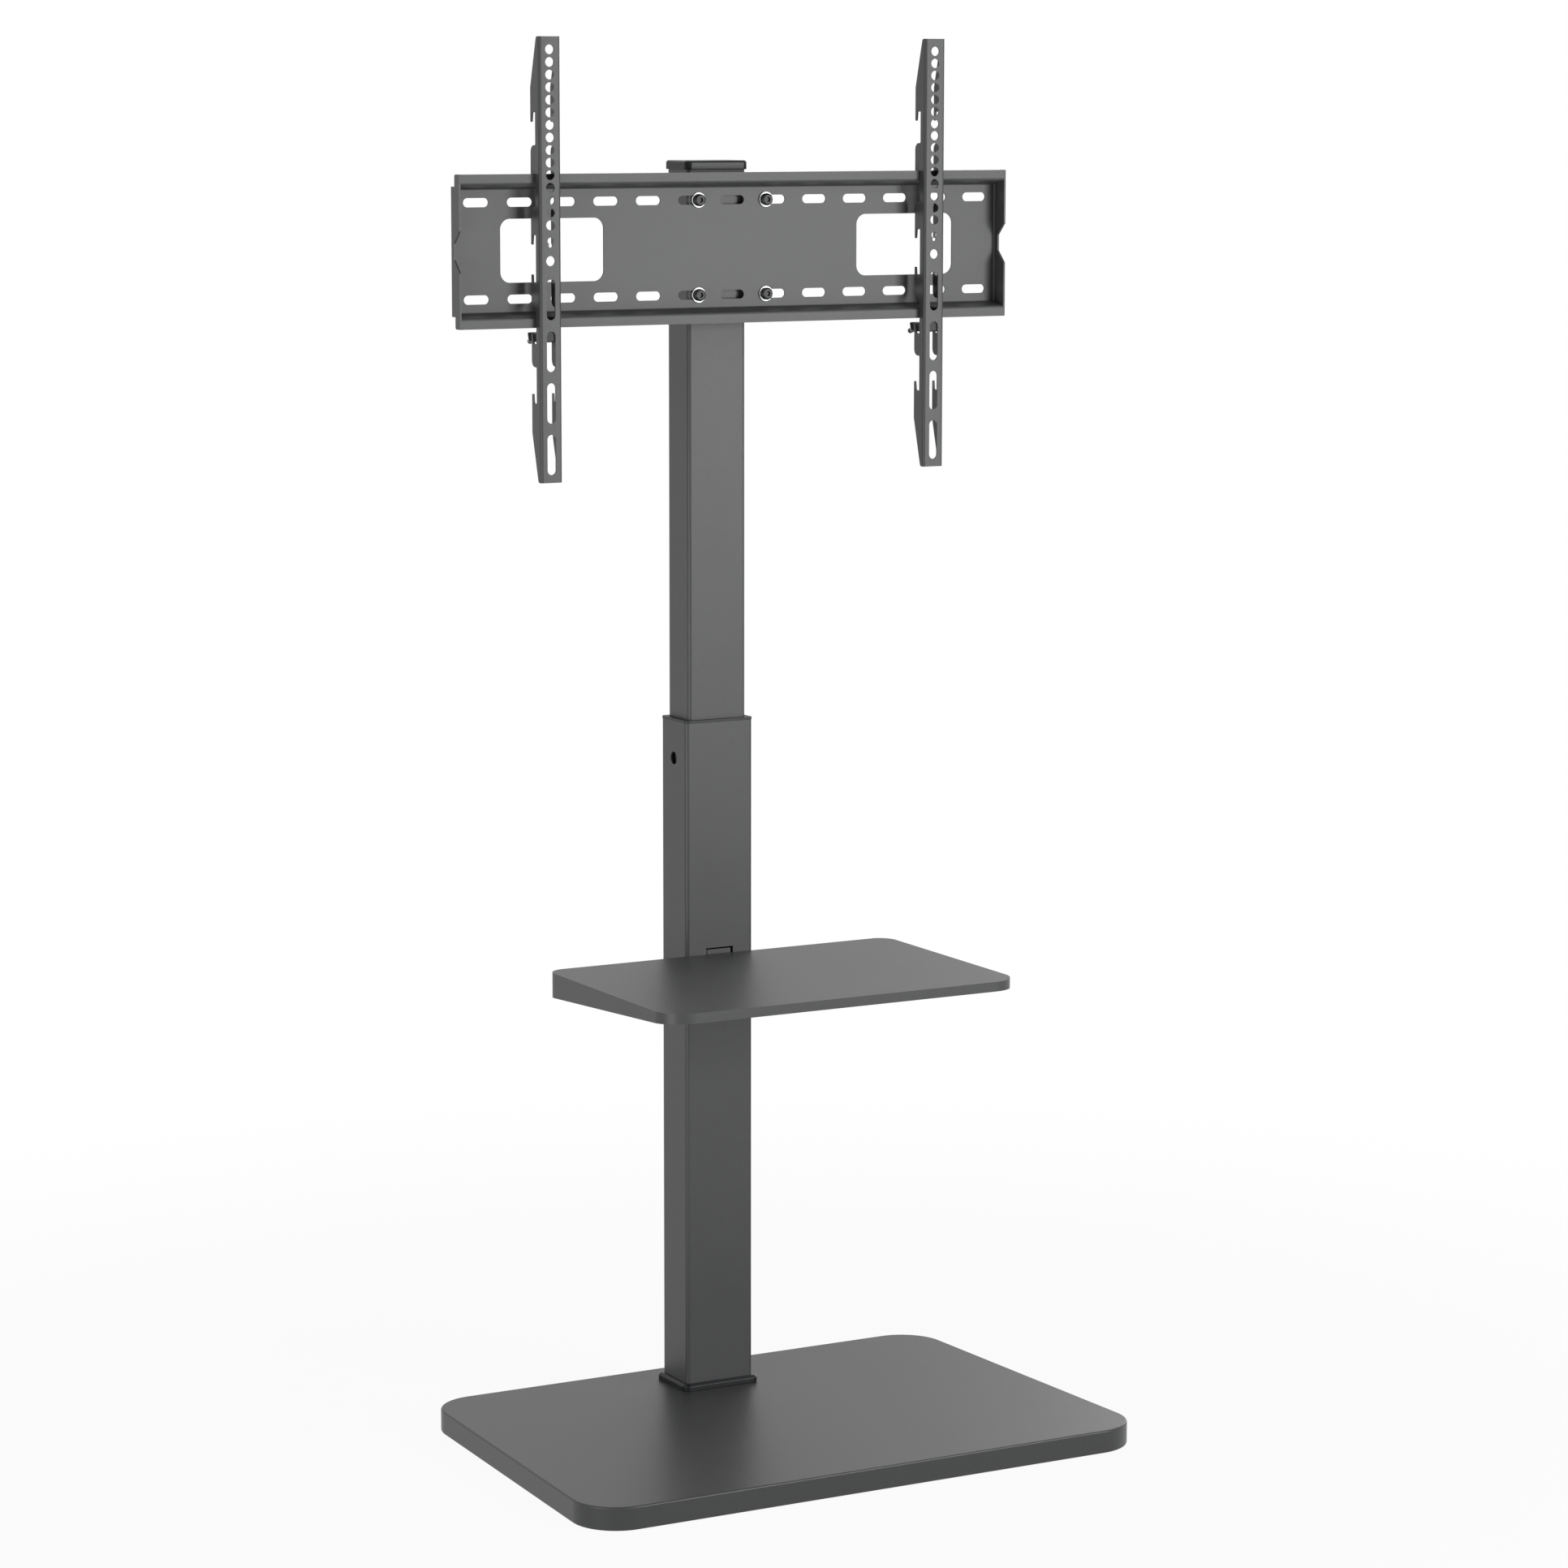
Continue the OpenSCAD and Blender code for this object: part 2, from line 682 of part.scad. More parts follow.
module lower_glide() {
    w = cavity_w - 2 * glide_gap;
    d = cavity_d - 2 * glide_gap;
    core_w = inner_w - 2 * inner_wall - 2 * seat_gap;
    core_d = inner_d - 2 * inner_wall - 2 * seat_gap;
    floor_t = inner_wall;
    color(MOULDED) difference() {
        plug(w, d, cavity_r, mast_bottom - floor_t, mast_bottom + glide_h);
        difference() {
            plug(inner_w + 2 * seat_gap, inner_d + 2 * seat_gap, inner_r,
                 mast_bottom, mast_bottom + glide_h + over);
            plug(core_w, core_d, inner_r - inner_wall + seat_gap, mast_bottom - over,
                 mast_bottom + plug_len);
        }
        plug(core_w - 2 * inner_wall, core_d - 2 * inner_wall, inner_r - inner_wall + seat_gap,
             mast_bottom - floor_t - over, mast_bottom + plug_len + over);
    }
}

module top_cap() {
    w = inner_w + 2 * cap_over;
    d = inner_d + 2 * cap_over;
    r = inner_r + cap_over;
    core_w = inner_w - 2 * inner_wall - 2 * seat_gap;
    core_d = inner_d - 2 * inner_wall - 2 * seat_gap;
    core_r = inner_r - inner_wall + seat_gap;
    roof = mast_top + cap_h / 2;
    color(MOULDED) {
        difference() {
            hull() {
                plug(w, d, r, mast_top - cap_h / 2, roof - cap_bevel);
                plug(w - 2 * cap_bevel, d - 2 * cap_bevel, r - cap_bevel,
                     mast_top - cap_h / 2, roof);
            }
            plug(inner_w + 2 * seat_gap, inner_d + 2 * seat_gap, inner_r + seat_gap,
                 mast_top - cap_h, mast_top);
        }
        difference() {
            plug(core_w, core_d, core_r, mast_top - plug_len, mast_top);
            plug(core_w - 2 * inner_wall, core_d - 2 * inner_wall, core_r,
                 mast_top - plug_len - over, mast_top - seat_gap);
        }
    }
}

// Head bracket and mount plate

module head_bracket() {
    leg = bracket_w / 2 - bracket_t / 2;
    ear = bracket_ear_w / 2;
    front = web_back + bracket_t / 2;
    crown = front + bracket_rise;
    color(COATED) difference() {
        union() {
            translate([0, 0, plate_z - bracket_h / 2]) linear_extrude(bracket_h)
                polygon(sheet_outline([[-ear, front], [-leg, front], [-leg, crown],
                                       [leg, crown], [leg, front], [ear, front]],
                                      bracket_t, bend_r));
            along_y(crown, bracket_back - crown) translate([0, plate_z]) difference() {
                round_rect(spacer_w, spacer_h, 2 * bracket_t);
                round_rect(spacer_w - 2 * bracket_t, spacer_h - 2 * bracket_t, bracket_t);
            }
        }
        at_plate_bolts(web_back - over)
            cylinder(d = bolt_dia + 2 * bolt_gap, h = bracket_t + 2 * over);
    }
}

module plate_nuts() {
    color(BLACKED) at_plate_bolts(web_back + bracket_t)
        hex_nut(nut_af, nut_h, bolt_dia + 2 * thread_gap);
}

module plate_washers() {
    color(ZINC) at_plate_bolts(web_front - washer_t) difference() {
        cylinder(d = washer_dia, h = washer_t);
        translate([0, 0, -over]) cylinder(d = bolt_dia + bolt_gap, h = washer_t + 2 * over);
    }
}

module plate_bolts() {
    color(BLACKED) at_plate_bolts(web_front - washer_t)
        socket_bolt(bolt_dia, washer_t + plate_t + bracket_t + nut_h, bolt_head_dia,
                    bolt_head_h, bolt_socket);
}

// Outline of the mount plate's section, in depth and height
module plate_section() {
    lip = lip_front + plate_t / 2;
    web = web_front + plate_t / 2;
    rim = plate_h / 2;
    bend = web_h / 2 + flange_rise;
    polygon(sheet_outline([[lip, rim], [lip, bend], [web, web_h / 2],
                           [web, -web_h / 2], [lip, -bend], [lip, -rim]], plate_t, bend_r));
}

// Outline of an end flange, in depth and height, with its front notch and back steps
module end_flange_outline() {
    rim = plate_h / 2;
    step = web_h / 2 + plate_t;
    mid = lip_front + plate_depth * end_step_share;
    deep = lip_front + plate_depth * notch_depth_share;
    wide = plate_h * notch_wide_share;
    narrow = plate_h * notch_narrow_share;
    polygon(rounded([[lip_front, rim], [mid, rim], [mid, step], [web_back, step],
                     [web_back, -step], [mid, -step], [mid, -rim], [lip_front, -rim],
                     [lip_front, -wide], [deep, -narrow], [deep, narrow], [lip_front, wide]],
                    [nick_r, 2 * nick_r, 0, nick_r, nick_r, 0, 2 * nick_r, nick_r,
                     0, nick_r, nick_r, 0]));
}

module mount_plate() {
    inside = plate_w - 2 * plate_t;
    web = web_front + plate_t / 2;
    end = (plate_w - plate_t) / 2;
    turn = bend_r + plate_t;
    color(COATED) difference() {
        translate([0, 0, plate_z]) {
            intersection() {
                across_x(inside) plate_section();
                translate([0, 0, -plate_h / 2]) linear_extrude(plate_h) plate_plan();
            }
            for (side = [-1, 1]) intersection() {
                translate([side * (plate_w - turn) / 2, 0, 0])
                    across_x(turn) end_flange_outline();
                translate([0, 0, -plate_h / 2]) linear_extrude(plate_h)
                    polygon(sheet_outline([[-end, lip_front], [-end, web],
                                           [end, web], [end, lip_front]], plate_t, bend_r));
            }
        }
        along_y(web_front - over, plate_t + 2 * over) plate_cutouts();
    }
}

// Outline of the mount plate seen from above, with its two bent back corners
module plate_plan() {
    turn = bend_r + plate_t / 2;
    polygon(rounded([[-plate_w / 2, lip_front], [plate_w / 2, lip_front],
                     [plate_w / 2, web_back], [-plate_w / 2, web_back]], [0, 0, turn, turn]));
}

// Slots and windows of the mount plate, in X and height
module plate_cutouts() {
    for (i = [0 : slot_count - 1], z = [-1, 1])
        translate([(i - (slot_count - 1) / 2) * slot_pitch, plate_z + z * slot_row])
            slot_shape(slot_len, slot_h);
    for (side = [-1, 1])
        translate([side * window_x, plate_z]) round_rect(window_w, window_h, window_r);
}

// Arms

// Back edge of one hook, from its shoulder to the root of its notch, where notch is the
// notch's distance from the arm's end
function hook_points(notch, start) = concat(start, [
    [arm_d, notch + prong_len], [arm_d - prong_tip, notch + prong_len],
    [arm_d - prong_t, notch], [arm_neck, notch]]);
function hook_radii(start) =
    concat(start, [prong_tip * 0.45, prong_tip * 0.45, nick_r, (arm_proud - arm_neck) / 2]);

// Shoulder of a hook that follows a neck, with the hook's body before its notch
function hook_start(notch, body) = [[arm_neck, notch - body], [arm_d, notch - body]];

// One end's half of an arm's side outline, in depth and distance from the end
function half_points(first, pitch, body) = concat([[0, 0], [arm_end_d, 0]],
    hook_points(first, [[arm_d, arm_taper]]),
    hook_points(first + pitch, hook_start(first + pitch, body)),
    hook_points(first + 2 * pitch, hook_start(first + 2 * pitch, body)));
half_radii = concat([0, arm_end_d / 2], hook_radii([hook_round]),
    hook_radii([nick_r, hook_round]), hook_radii([nick_r, hook_round]));

// Side outline of an arm, in depth and height above its middle
module arm_side() {
    upper = half_points(hook_first, hook_pitch, arm_len * hook_body_share);
    lower = half_points(arm_len * low_first_share, arm_len * low_pitch_share,
                        arm_len * low_body_share);
    last = len(upper) - 1;
    points = concat([for (p = upper) [p[0], arm_len / 2 - p[1]]],
        [for (i = [last : -1 : 0]) [lower[i][0], lower[i][1] - arm_len / 2]]);
    radii = concat(half_radii, [for (i = [last : -1 : 0]) half_radii[i]]);
    polygon(rounded(points, radii));
}

// Holes and slots in an arm's face, in X and distance below the arm's top
module arm_cutouts() {
    key = arm_len * key_hole_share;
    for (i = [0 : arm_hole_count - 1])
        translate([0, -arm_len * (hole_first_share + i * hole_pitch_share)])
            circle(d = arm_hole_dia);
    translate([0, -key]) circle(d = key_dia);
    translate([0, -key - key_drop]) circle(d = key_slot_dia);
    translate([0, -arm_len / 2]) circle(d = arm_mid_dia);
    for (i = [0 : arm_slot_count - 1])
        translate([0, -arm_len * (slot_first_share + i * slot_step_share)]) rotate(90)
            slot_shape(arm_len * slot_len_share, arm_slot_w);
}

// An arm in its own place, centred on X
module arm() {
    side = arm_w / 2 - arm_t / 2;
    face = arm_front + arm_t / 2;
    difference() {
        intersection() {
            translate([0, 0, arm_top - arm_len]) linear_extrude(arm_len)
                polygon(sheet_outline([[-side, arm_front + arm_d], [-side, face],
                                       [side, face], [side, arm_front + arm_d]],
                                      arm_t, bend_r - arm_t / 4));
            translate([0, arm_front, arm_top - arm_len / 2]) across_x(arm_w) arm_side();
        }
        along_y(arm_front - over, arm_t + 2 * over) translate([0, arm_top]) arm_cutouts();
    }
}

// Lock

// Puts its children on the lock screw's axis: the origin lies on the block's slanted back
// face, halfway up, and +Z points into the block
module on_lock_axis() {
    back = arm_front + arm_t + lock_d - lock_h / 2 * tan(lock_slant);
    translate([0, back, lock_top - lock_h / 2]) rotate([90 - lock_slant, 0, 0]) children();
}

module lock_block() {
    face = arm_front + arm_t;
    back = face + lock_d;
    wide = arm_w - 2 * arm_t - 2 * slide_gap;
    rest = bend_r / 2;
    nose_back = lip_front - bolt_gap;
    nose_top = lock_top + lock_nose;
    difference() {
        union() {
            across_x(wide)
                polygon(rounded([[face + rest, nose_top], [nose_back, nose_top],
                                 [nose_back, lock_top], [back, lock_top],
                                 [back - lock_h * tan(lock_slant), lock_top - lock_h],
                                 [face + rest, lock_top - lock_h]],
                                [nick_r, nick_r, 0, nick_r, nick_r, nick_r]));
            across_x(wide - 2 * bend_r)
                translate([face, lock_top - lock_h + nick_r])
                    square([2 * bend_r, lock_h + lock_nose - 2 * nick_r]);
        }
        on_lock_axis() translate([0, 0, -over])
            cylinder(d = lock_screw_dia + 2 * thread_gap, h = lock_reach + 2 * over);
    }
}

module lock_plate() {
    on_lock_axis() translate([0, 0, -lock_plate_t]) difference() {
        linear_extrude(lock_plate_t) round_rect(lock_plate_w, lock_h, nick_r);
        translate([0, 0, -over])
            cylinder(d = lock_screw_dia + 2 * thread_gap, h = lock_plate_t + 2 * over);
    }
}

module lock_screw() {
    head = lock_head_dia / 2;
    chamfer = head / 3;
    shank = lock_screw_dia / 2;
    on_lock_axis() translate([0, 0, -lock_plate_t]) rotate_extrude()
        polygon([[0, -lock_head_len], [head - chamfer, -lock_head_len],
                 [head, -lock_head_len + chamfer], [head, 0], [shank, 0],
                 [shank, lock_plate_t + lock_reach], [0, lock_plate_t + lock_reach]]);
}

module left_arm() { color(COATED) translate([-left_arm_x, 0, 0]) arm(); }
module right_arm() { color(COATED) translate([right_arm_x, 0, 0]) arm(); }
module left_lock_block() { color(MOULDED) translate([-left_arm_x, 0, 0]) lock_block(); }
module right_lock_block() { color(MOULDED) translate([right_arm_x, 0, 0]) lock_block(); }
module left_lock_plate() { color(ZINC) translate([-left_arm_x, 0, 0]) lock_plate(); }
module right_lock_plate() { color(ZINC) translate([right_arm_x, 0, 0]) lock_plate(); }
module left_lock_screw() { color(BLACKED) translate([-left_arm_x, 0, 0]) lock_screw(); }
module right_lock_screw() { color(BLACKED) translate([right_arm_x, 0, 0]) lock_screw(); }

base_board();
base_pads();
base_underplate();
base_bolts();
foot_plate();
foot_collar();
lower_column();
column_bushing();
clamp_nut();
clamp_screw();
shelf_panel();
shelf_screws();
shelf_inserts();
upper_column();
lower_glide();
top_cap();
head_bracket();
plate_nuts();
mount_plate();
plate_washers();
plate_bolts();
left_arm();
left_lock_block();
left_lock_plate();
left_lock_screw();
right_arm();
right_lock_block();
right_lock_plate();
right_lock_screw();
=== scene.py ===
"""Looks of a floor stand for a flat screen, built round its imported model.

Lengths are metres in the model's own frame: X runs along the mount plate, -Y is the
front, where the screen hangs, and Z is up from the floor.
"""

import json
import logging
import math
from dataclasses import dataclass
from enum import Enum

import bpy
from mathutils import Matrix, Vector

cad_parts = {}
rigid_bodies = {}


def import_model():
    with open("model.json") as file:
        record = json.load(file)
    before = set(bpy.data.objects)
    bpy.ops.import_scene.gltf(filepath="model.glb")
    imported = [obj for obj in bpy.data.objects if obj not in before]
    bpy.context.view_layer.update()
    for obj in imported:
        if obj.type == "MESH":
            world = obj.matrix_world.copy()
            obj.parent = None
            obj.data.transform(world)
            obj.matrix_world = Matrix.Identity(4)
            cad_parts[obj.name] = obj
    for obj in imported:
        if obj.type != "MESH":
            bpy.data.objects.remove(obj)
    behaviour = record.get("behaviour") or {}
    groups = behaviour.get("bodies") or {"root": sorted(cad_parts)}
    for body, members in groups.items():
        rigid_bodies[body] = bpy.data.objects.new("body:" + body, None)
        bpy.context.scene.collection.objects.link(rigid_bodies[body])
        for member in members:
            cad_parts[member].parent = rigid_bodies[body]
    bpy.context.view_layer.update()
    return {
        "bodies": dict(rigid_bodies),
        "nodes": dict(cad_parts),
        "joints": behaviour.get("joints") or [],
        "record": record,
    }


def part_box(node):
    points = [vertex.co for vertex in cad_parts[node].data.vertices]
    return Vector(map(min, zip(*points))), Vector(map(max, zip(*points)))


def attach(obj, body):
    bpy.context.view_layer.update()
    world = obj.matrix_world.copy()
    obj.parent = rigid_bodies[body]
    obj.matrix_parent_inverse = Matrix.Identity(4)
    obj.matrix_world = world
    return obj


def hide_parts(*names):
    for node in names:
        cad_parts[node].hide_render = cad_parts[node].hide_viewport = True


LOG = logging.getLogger("stand")
MM = 0.001
WHITE = (1.0, 1.0, 1.0, 1.0)


class Body(Enum):
    """The rigid bodies that pieces ride on."""

    STAND = "stand"
    CLAMP = "clamp"
    MAST = "mast"
    ARM_LEFT = "arm_left"
    LOCK_LEFT = "lock_left"
    THUMB_LEFT = "thumb_left"
    ARM_RIGHT = "arm_right"
    LOCK_RIGHT = "lock_right"
    THUMB_RIGHT = "thumb_right"


class Slot(Enum):
    """The record's material slots."""

    BOARD = "board"
    COAT = "coated_steel"
    GLOSS = "gloss_moulding"
    MOULDING = "moulding"
    RUBBER = "rubber"
    BLACKENED = "blackened_steel"
    ZINC = "zinc_steel"


class Side(Enum):
    """The two arms, each with the start of its names and its three bodies."""

    LEFT = ("left", Body.ARM_LEFT, Body.LOCK_LEFT, Body.THUMB_LEFT)
    RIGHT = ("right", Body.ARM_RIGHT, Body.LOCK_RIGHT, Body.THUMB_RIGHT)


class Shader:
    """A material's node tree with short calls to add and join nodes."""

    def __init__(self, name: str) -> None:
        """Starts a material of that name with one Principled shader."""
        self.material = bpy.data.materials.new(name)
        self.material.use_nodes = True
        self.tree = self.material.node_tree
        self.tree.nodes.clear()
        self.surface = self.add("ShaderNodeBsdfPrincipled")
        out = self.add("ShaderNodeOutputMaterial")
        self.join(self.surface, "BSDF", out, "Surface")

    def add(self, kind: str, **values: object) -> bpy.types.Node:
        """Adds a node of that kind and sets the named properties on it."""
        node = self.tree.nodes.new(kind)
        for key, value in values.items():
            setattr(node, key, value)
        return node

    def join(self, a: bpy.types.Node, out: str, b: bpy.types.Node, into: str) -> None:
        """Links output out of node a to input into of node b."""
        self.tree.links.new(a.outputs[out], b.inputs[into])

    def group(self, tree: bpy.types.NodeTree, **inputs: float) -> bpy.types.Node:
        """Places a shared node group and sets its named inputs.

        Args:
            tree: the node group.
            inputs: input names, with spaces written as underscores, and their values.

        Returns:
            The group node.
        """
        node = self.add("ShaderNodeGroup", node_tree=tree)
        for key, value in inputs.items():
            node.inputs[key.replace("_", " ")].default_value = value
        return node

    def blend(self, mask: bpy.types.NodeSocket, low: object, high: object) -> object:
        """Mixes two colours by a mask.

        Args:
            mask: the socket that gives 0 to 1.
            low: the colour at 0, three numbers or a colour socket.
            high: the colour at 1, three numbers or a colour socket.

        Returns:
            The mixed colour's socket.
        """
        node = self.add("ShaderNodeMix", data_type="RGBA")
        self.tree.links.new(mask, node.inputs["Factor"])
        places = [s for s in node.inputs if s.type == "RGBA"]
        for place, value in zip(places, (low, high)):
            if isinstance(value, tuple):
                place.default_value = (*value, 1.0)
            else:
                self.tree.links.new(value, place)
        return next(s for s in node.outputs if s.type == "RGBA")

    def spread(self, mask: bpy.types.NodeSocket, low: float, high: float) -> bpy.types.Node:
        """Adds a map from a mask of 0 to 1 onto low to high."""
        node = self.add("ShaderNodeMapRange")
        self.tree.links.new(mask, node.inputs["Value"])
        node.inputs["To Min"].default_value = low
        node.inputs["To Max"].default_value = high
        return node


class Effects:
    """Node groups that more than one finish uses. Each is built once.

    Attributes:
        DETAIL: octaves of the grain's noise.
        FALLOFF: how strongly each finer octave counts.
        DARKEST: the noise value that is 0 in the grain's mask.
        LIGHTEST: the noise value that is 1 in the grain's mask.
        EDGE_SAMPLES: rays with which the edge mask looks round a point.
    """

    DETAIL = 3.0
    FALLOFF = 0.6
    DARKEST = 0.32
    LIGHTEST = 0.68
    EDGE_SAMPLES = 4

    def __init__(self) -> None:
        """Builds the groups."""
        self.grain = self._grain()
        self.specks = self._specks()
        self.edges = self._edges()

    @staticmethod
    def _start(name: str, inputs: dict, outputs: tuple) -> tuple:
        """Starts a group with float sockets.

        Args:
            name: the group's name.
            inputs: input names and their default values.
            outputs: output names.

        Returns:
            The tree, its input node and its output node.
        """
        tree = bpy.data.node_groups.new(name, "ShaderNodeTree")
        for label, value in inputs.items():
            socket = tree.interface.new_socket(label, in_out="INPUT", socket_type="NodeSocketFloat")
            socket.default_value = value
        for label in outputs:
            tree.interface.new_socket(label, in_out="OUTPUT", socket_type="NodeSocketFloat")
        return tree, tree.nodes.new("NodeGroupInput"), tree.nodes.new("NodeGroupOutput")

    @staticmethod
    def _object_scale(tree: bpy.types.NodeTree, given: bpy.types.Node,
                      texture: bpy.types.Node) -> None:
        """Sets a texture on object space, with one feature for each length of Size."""
        place = tree.nodes.new("ShaderNodeTexCoord")
        scale = tree.nodes.new("ShaderNodeMath")
        scale.operation = "DIVIDE"
        scale.inputs[0].default_value = 1.0
        tree.links.new(given.outputs["Size"], scale.inputs[1])
        tree.links.new(place.outputs["Object"], texture.inputs["Vector"])
        tree.links.new(scale.outputs[0], texture.inputs["Scale"])

    def _grain(self) -> bpy.types.NodeTree:
        """A soft noise of a given size in metres, as a mask of 0 to 1."""
        tree, given, made = self._start("Grain", {"Size": MM}, ("Mask",))
        noise = tree.nodes.new("ShaderNodeTexNoise")
        noise.inputs["Detail"].default_value = self.DETAIL
        noise.inputs["Roughness"].default_value = self.FALLOFF
        self._object_scale(tree, given, noise)
        span = tree.nodes.new("ShaderNodeMapRange")
        span.inputs["From Min"].default_value = self.DARKEST
        span.inputs["From Max"].default_value = self.LIGHTEST
        tree.links.new(noise.outputs["Fac"], span.inputs["Value"])
        tree.links.new(span.outputs["Result"], made.inputs["Mask"])
        return tree

    def _specks(self) -> bpy.types.NodeTree:
        """Scattered small spots of a given spacing in metres, as a mask of 0 to 1."""
        tree, given, made = self._start("Specks", {"Size": 2 * MM, "Share": 0.4}, ("Mask",))
        cells = tree.nodes.new("ShaderNodeTexVoronoi")
        cells.feature = "F1"
        self._object_scale(tree, given, cells)
        span = tree.nodes.new("ShaderNodeMapRange")
        span.interpolation_type = "SMOOTHSTEP"
        span.inputs["From Min"].default_value = 0.0
        span.inputs["To Min"].default_value = 1.0
        span.inputs["To Max"].default_value = 0.0
        tree.links.new(cells.outputs["Distance"], span.inputs["Value"])
        tree.links.new(given.outputs["Share"], span.inputs["From Max"])
        tree.links.new(span.outputs["Result"], made.inputs["Mask"])
        return tree

    def _edges(self) -> bpy.types.NodeTree:
        """A mask that is 1 on sharp edges and fades within a given radius in metres, where the
        finishes paint a highlight.
        """
        tree, given, made = self._start("Edges", {"Radius": MM, "Gain": 1.0}, ("Mask",))
        soft = tree.nodes.new("ShaderNodeBevel")
        soft.samples = self.EDGE_SAMPLES
        true = tree.nodes.new("ShaderNodeNewGeometry")
        turn = tree.nodes.new("ShaderNodeVectorMath")
        turn.operation = "DOT_PRODUCT"
        away = tree.nodes.new("ShaderNodeMath")
        away.operation = "SUBTRACT"
        away.inputs[0].default_value = 1.0
        gain = tree.nodes.new("ShaderNodeMath")
        gain.operation = "MULTIPLY"
        gain.use_clamp = True
        tree.links.new(given.outputs["Radius"], soft.inputs["Radius"])
        tree.links.new(soft.outputs["Normal"], turn.inputs[0])
        tree.links.new(true.outputs["Normal"], turn.inputs[1])
        tree.links.new(turn.outputs["Value"], away.inputs[1])
        tree.links.new(away.outputs[0], gain.inputs[0])
        tree.links.new(given.outputs["Gain"], gain.inputs[1])
        tree.links.new(gain.outputs[0], made.inputs["Mask"])
        return tree


@dataclass(frozen=True)
class Finish:
    """A surface with fine grain, scattered specks, slow patches and a painted highlight along its
    sharp edges.

    Attributes:
        name: the material's name.
        colour: the middle of the base colour.
        patchiness: how far slow patches are lighter or darker, as a share.
        speckle: how far the specks are lighter, as a share.
        edge_highlight_colour: the colour of the painted highlight along sharp edges.
        edge_highlight_gain: how strongly the painted edge highlight shows.
        edge_highlight_radius: how far from an edge the painted highlight reaches.
        roughness: lowest and highest roughness.
        grain: size of the fine grain.
        speck: spacing of the specks.
        patch: size of the slow patches.
        relief: height of the grain.
        metallic: the surface's metallic value.
        specular: the specular level.
    """

    name: str
    colour: tuple
    patchiness: float = 0.06
    speckle: float = 0.25
    edge_highlight_colour: tuple = (0.2, 0.2, 0.2)
    edge_highlight_gain: float = 0.6
    edge_highlight_radius: float = 0.8 * MM
    roughness: tuple = (0.42, 0.54)
    grain: float = 0.9 * MM
    speck: float = 1.9 * MM
    patch: float = 70 * MM
    relief: float = 0.06 * MM
    metallic: float = 0.0
    specular: float = 0.5

    def _colour_times(self, share: float) -> tuple:
        """The middle colour made lighter or darker by a share."""
        return tuple(min(c * share, 1.0) for c in self.colour)

    def build(self, effects: Effects) -> bpy.types.Material:
        """Makes the material.

        Args:
            effects: the shared node groups.

        Returns:
            The material.
        """
        s = Shader(self.name)
        grain = s.group(effects.grain, Size=self.grain)
        patch = s.group(effects.grain, Size=self.patch)
        specks = s.group(effects.specks, Size=self.speck)
        edges = s.group(effects.edges, Radius=self.edge_highlight_radius, Gain=self.edge_highlight_gain)
        base = s.blend(patch.outputs["Mask"], self._colour_times(1 - self.patchiness),
                       self._colour_times(1 + self.patchiness))
        fine = s.blend(grain.outputs["Mask"], self._colour_times(1 - self.speckle), base)
        lit = s.blend(specks.outputs["Mask"], fine, self._colour_times(1 + self.speckle))
        # Painted highlight: the colour is lightened along sharp edges, standing in for light caught
        # on their rounding.
        highlighted_edges = s.blend(edges.outputs["Mask"], lit, self.edge_highlight_colour)
        s.tree.links.new(highlighted_edges, s.surface.inputs["Base Color"])
        rough = s.spread(grain.outputs["Mask"], *self.roughness)
        s.join(rough, "Result", s.surface, "Roughness")
        bump = s.add("ShaderNodeBump")
        bump.inputs["Distance"].default_value = self.relief
        s.join(grain, "Mask", bump, "Height")
        s.join(bump, "Normal", s.surface, "Normal")
        s.surface.inputs["Metallic"].default_value = self.metallic
        s.surface.inputs["Specular IOR Level"].default_value = self.specular
        return s.material


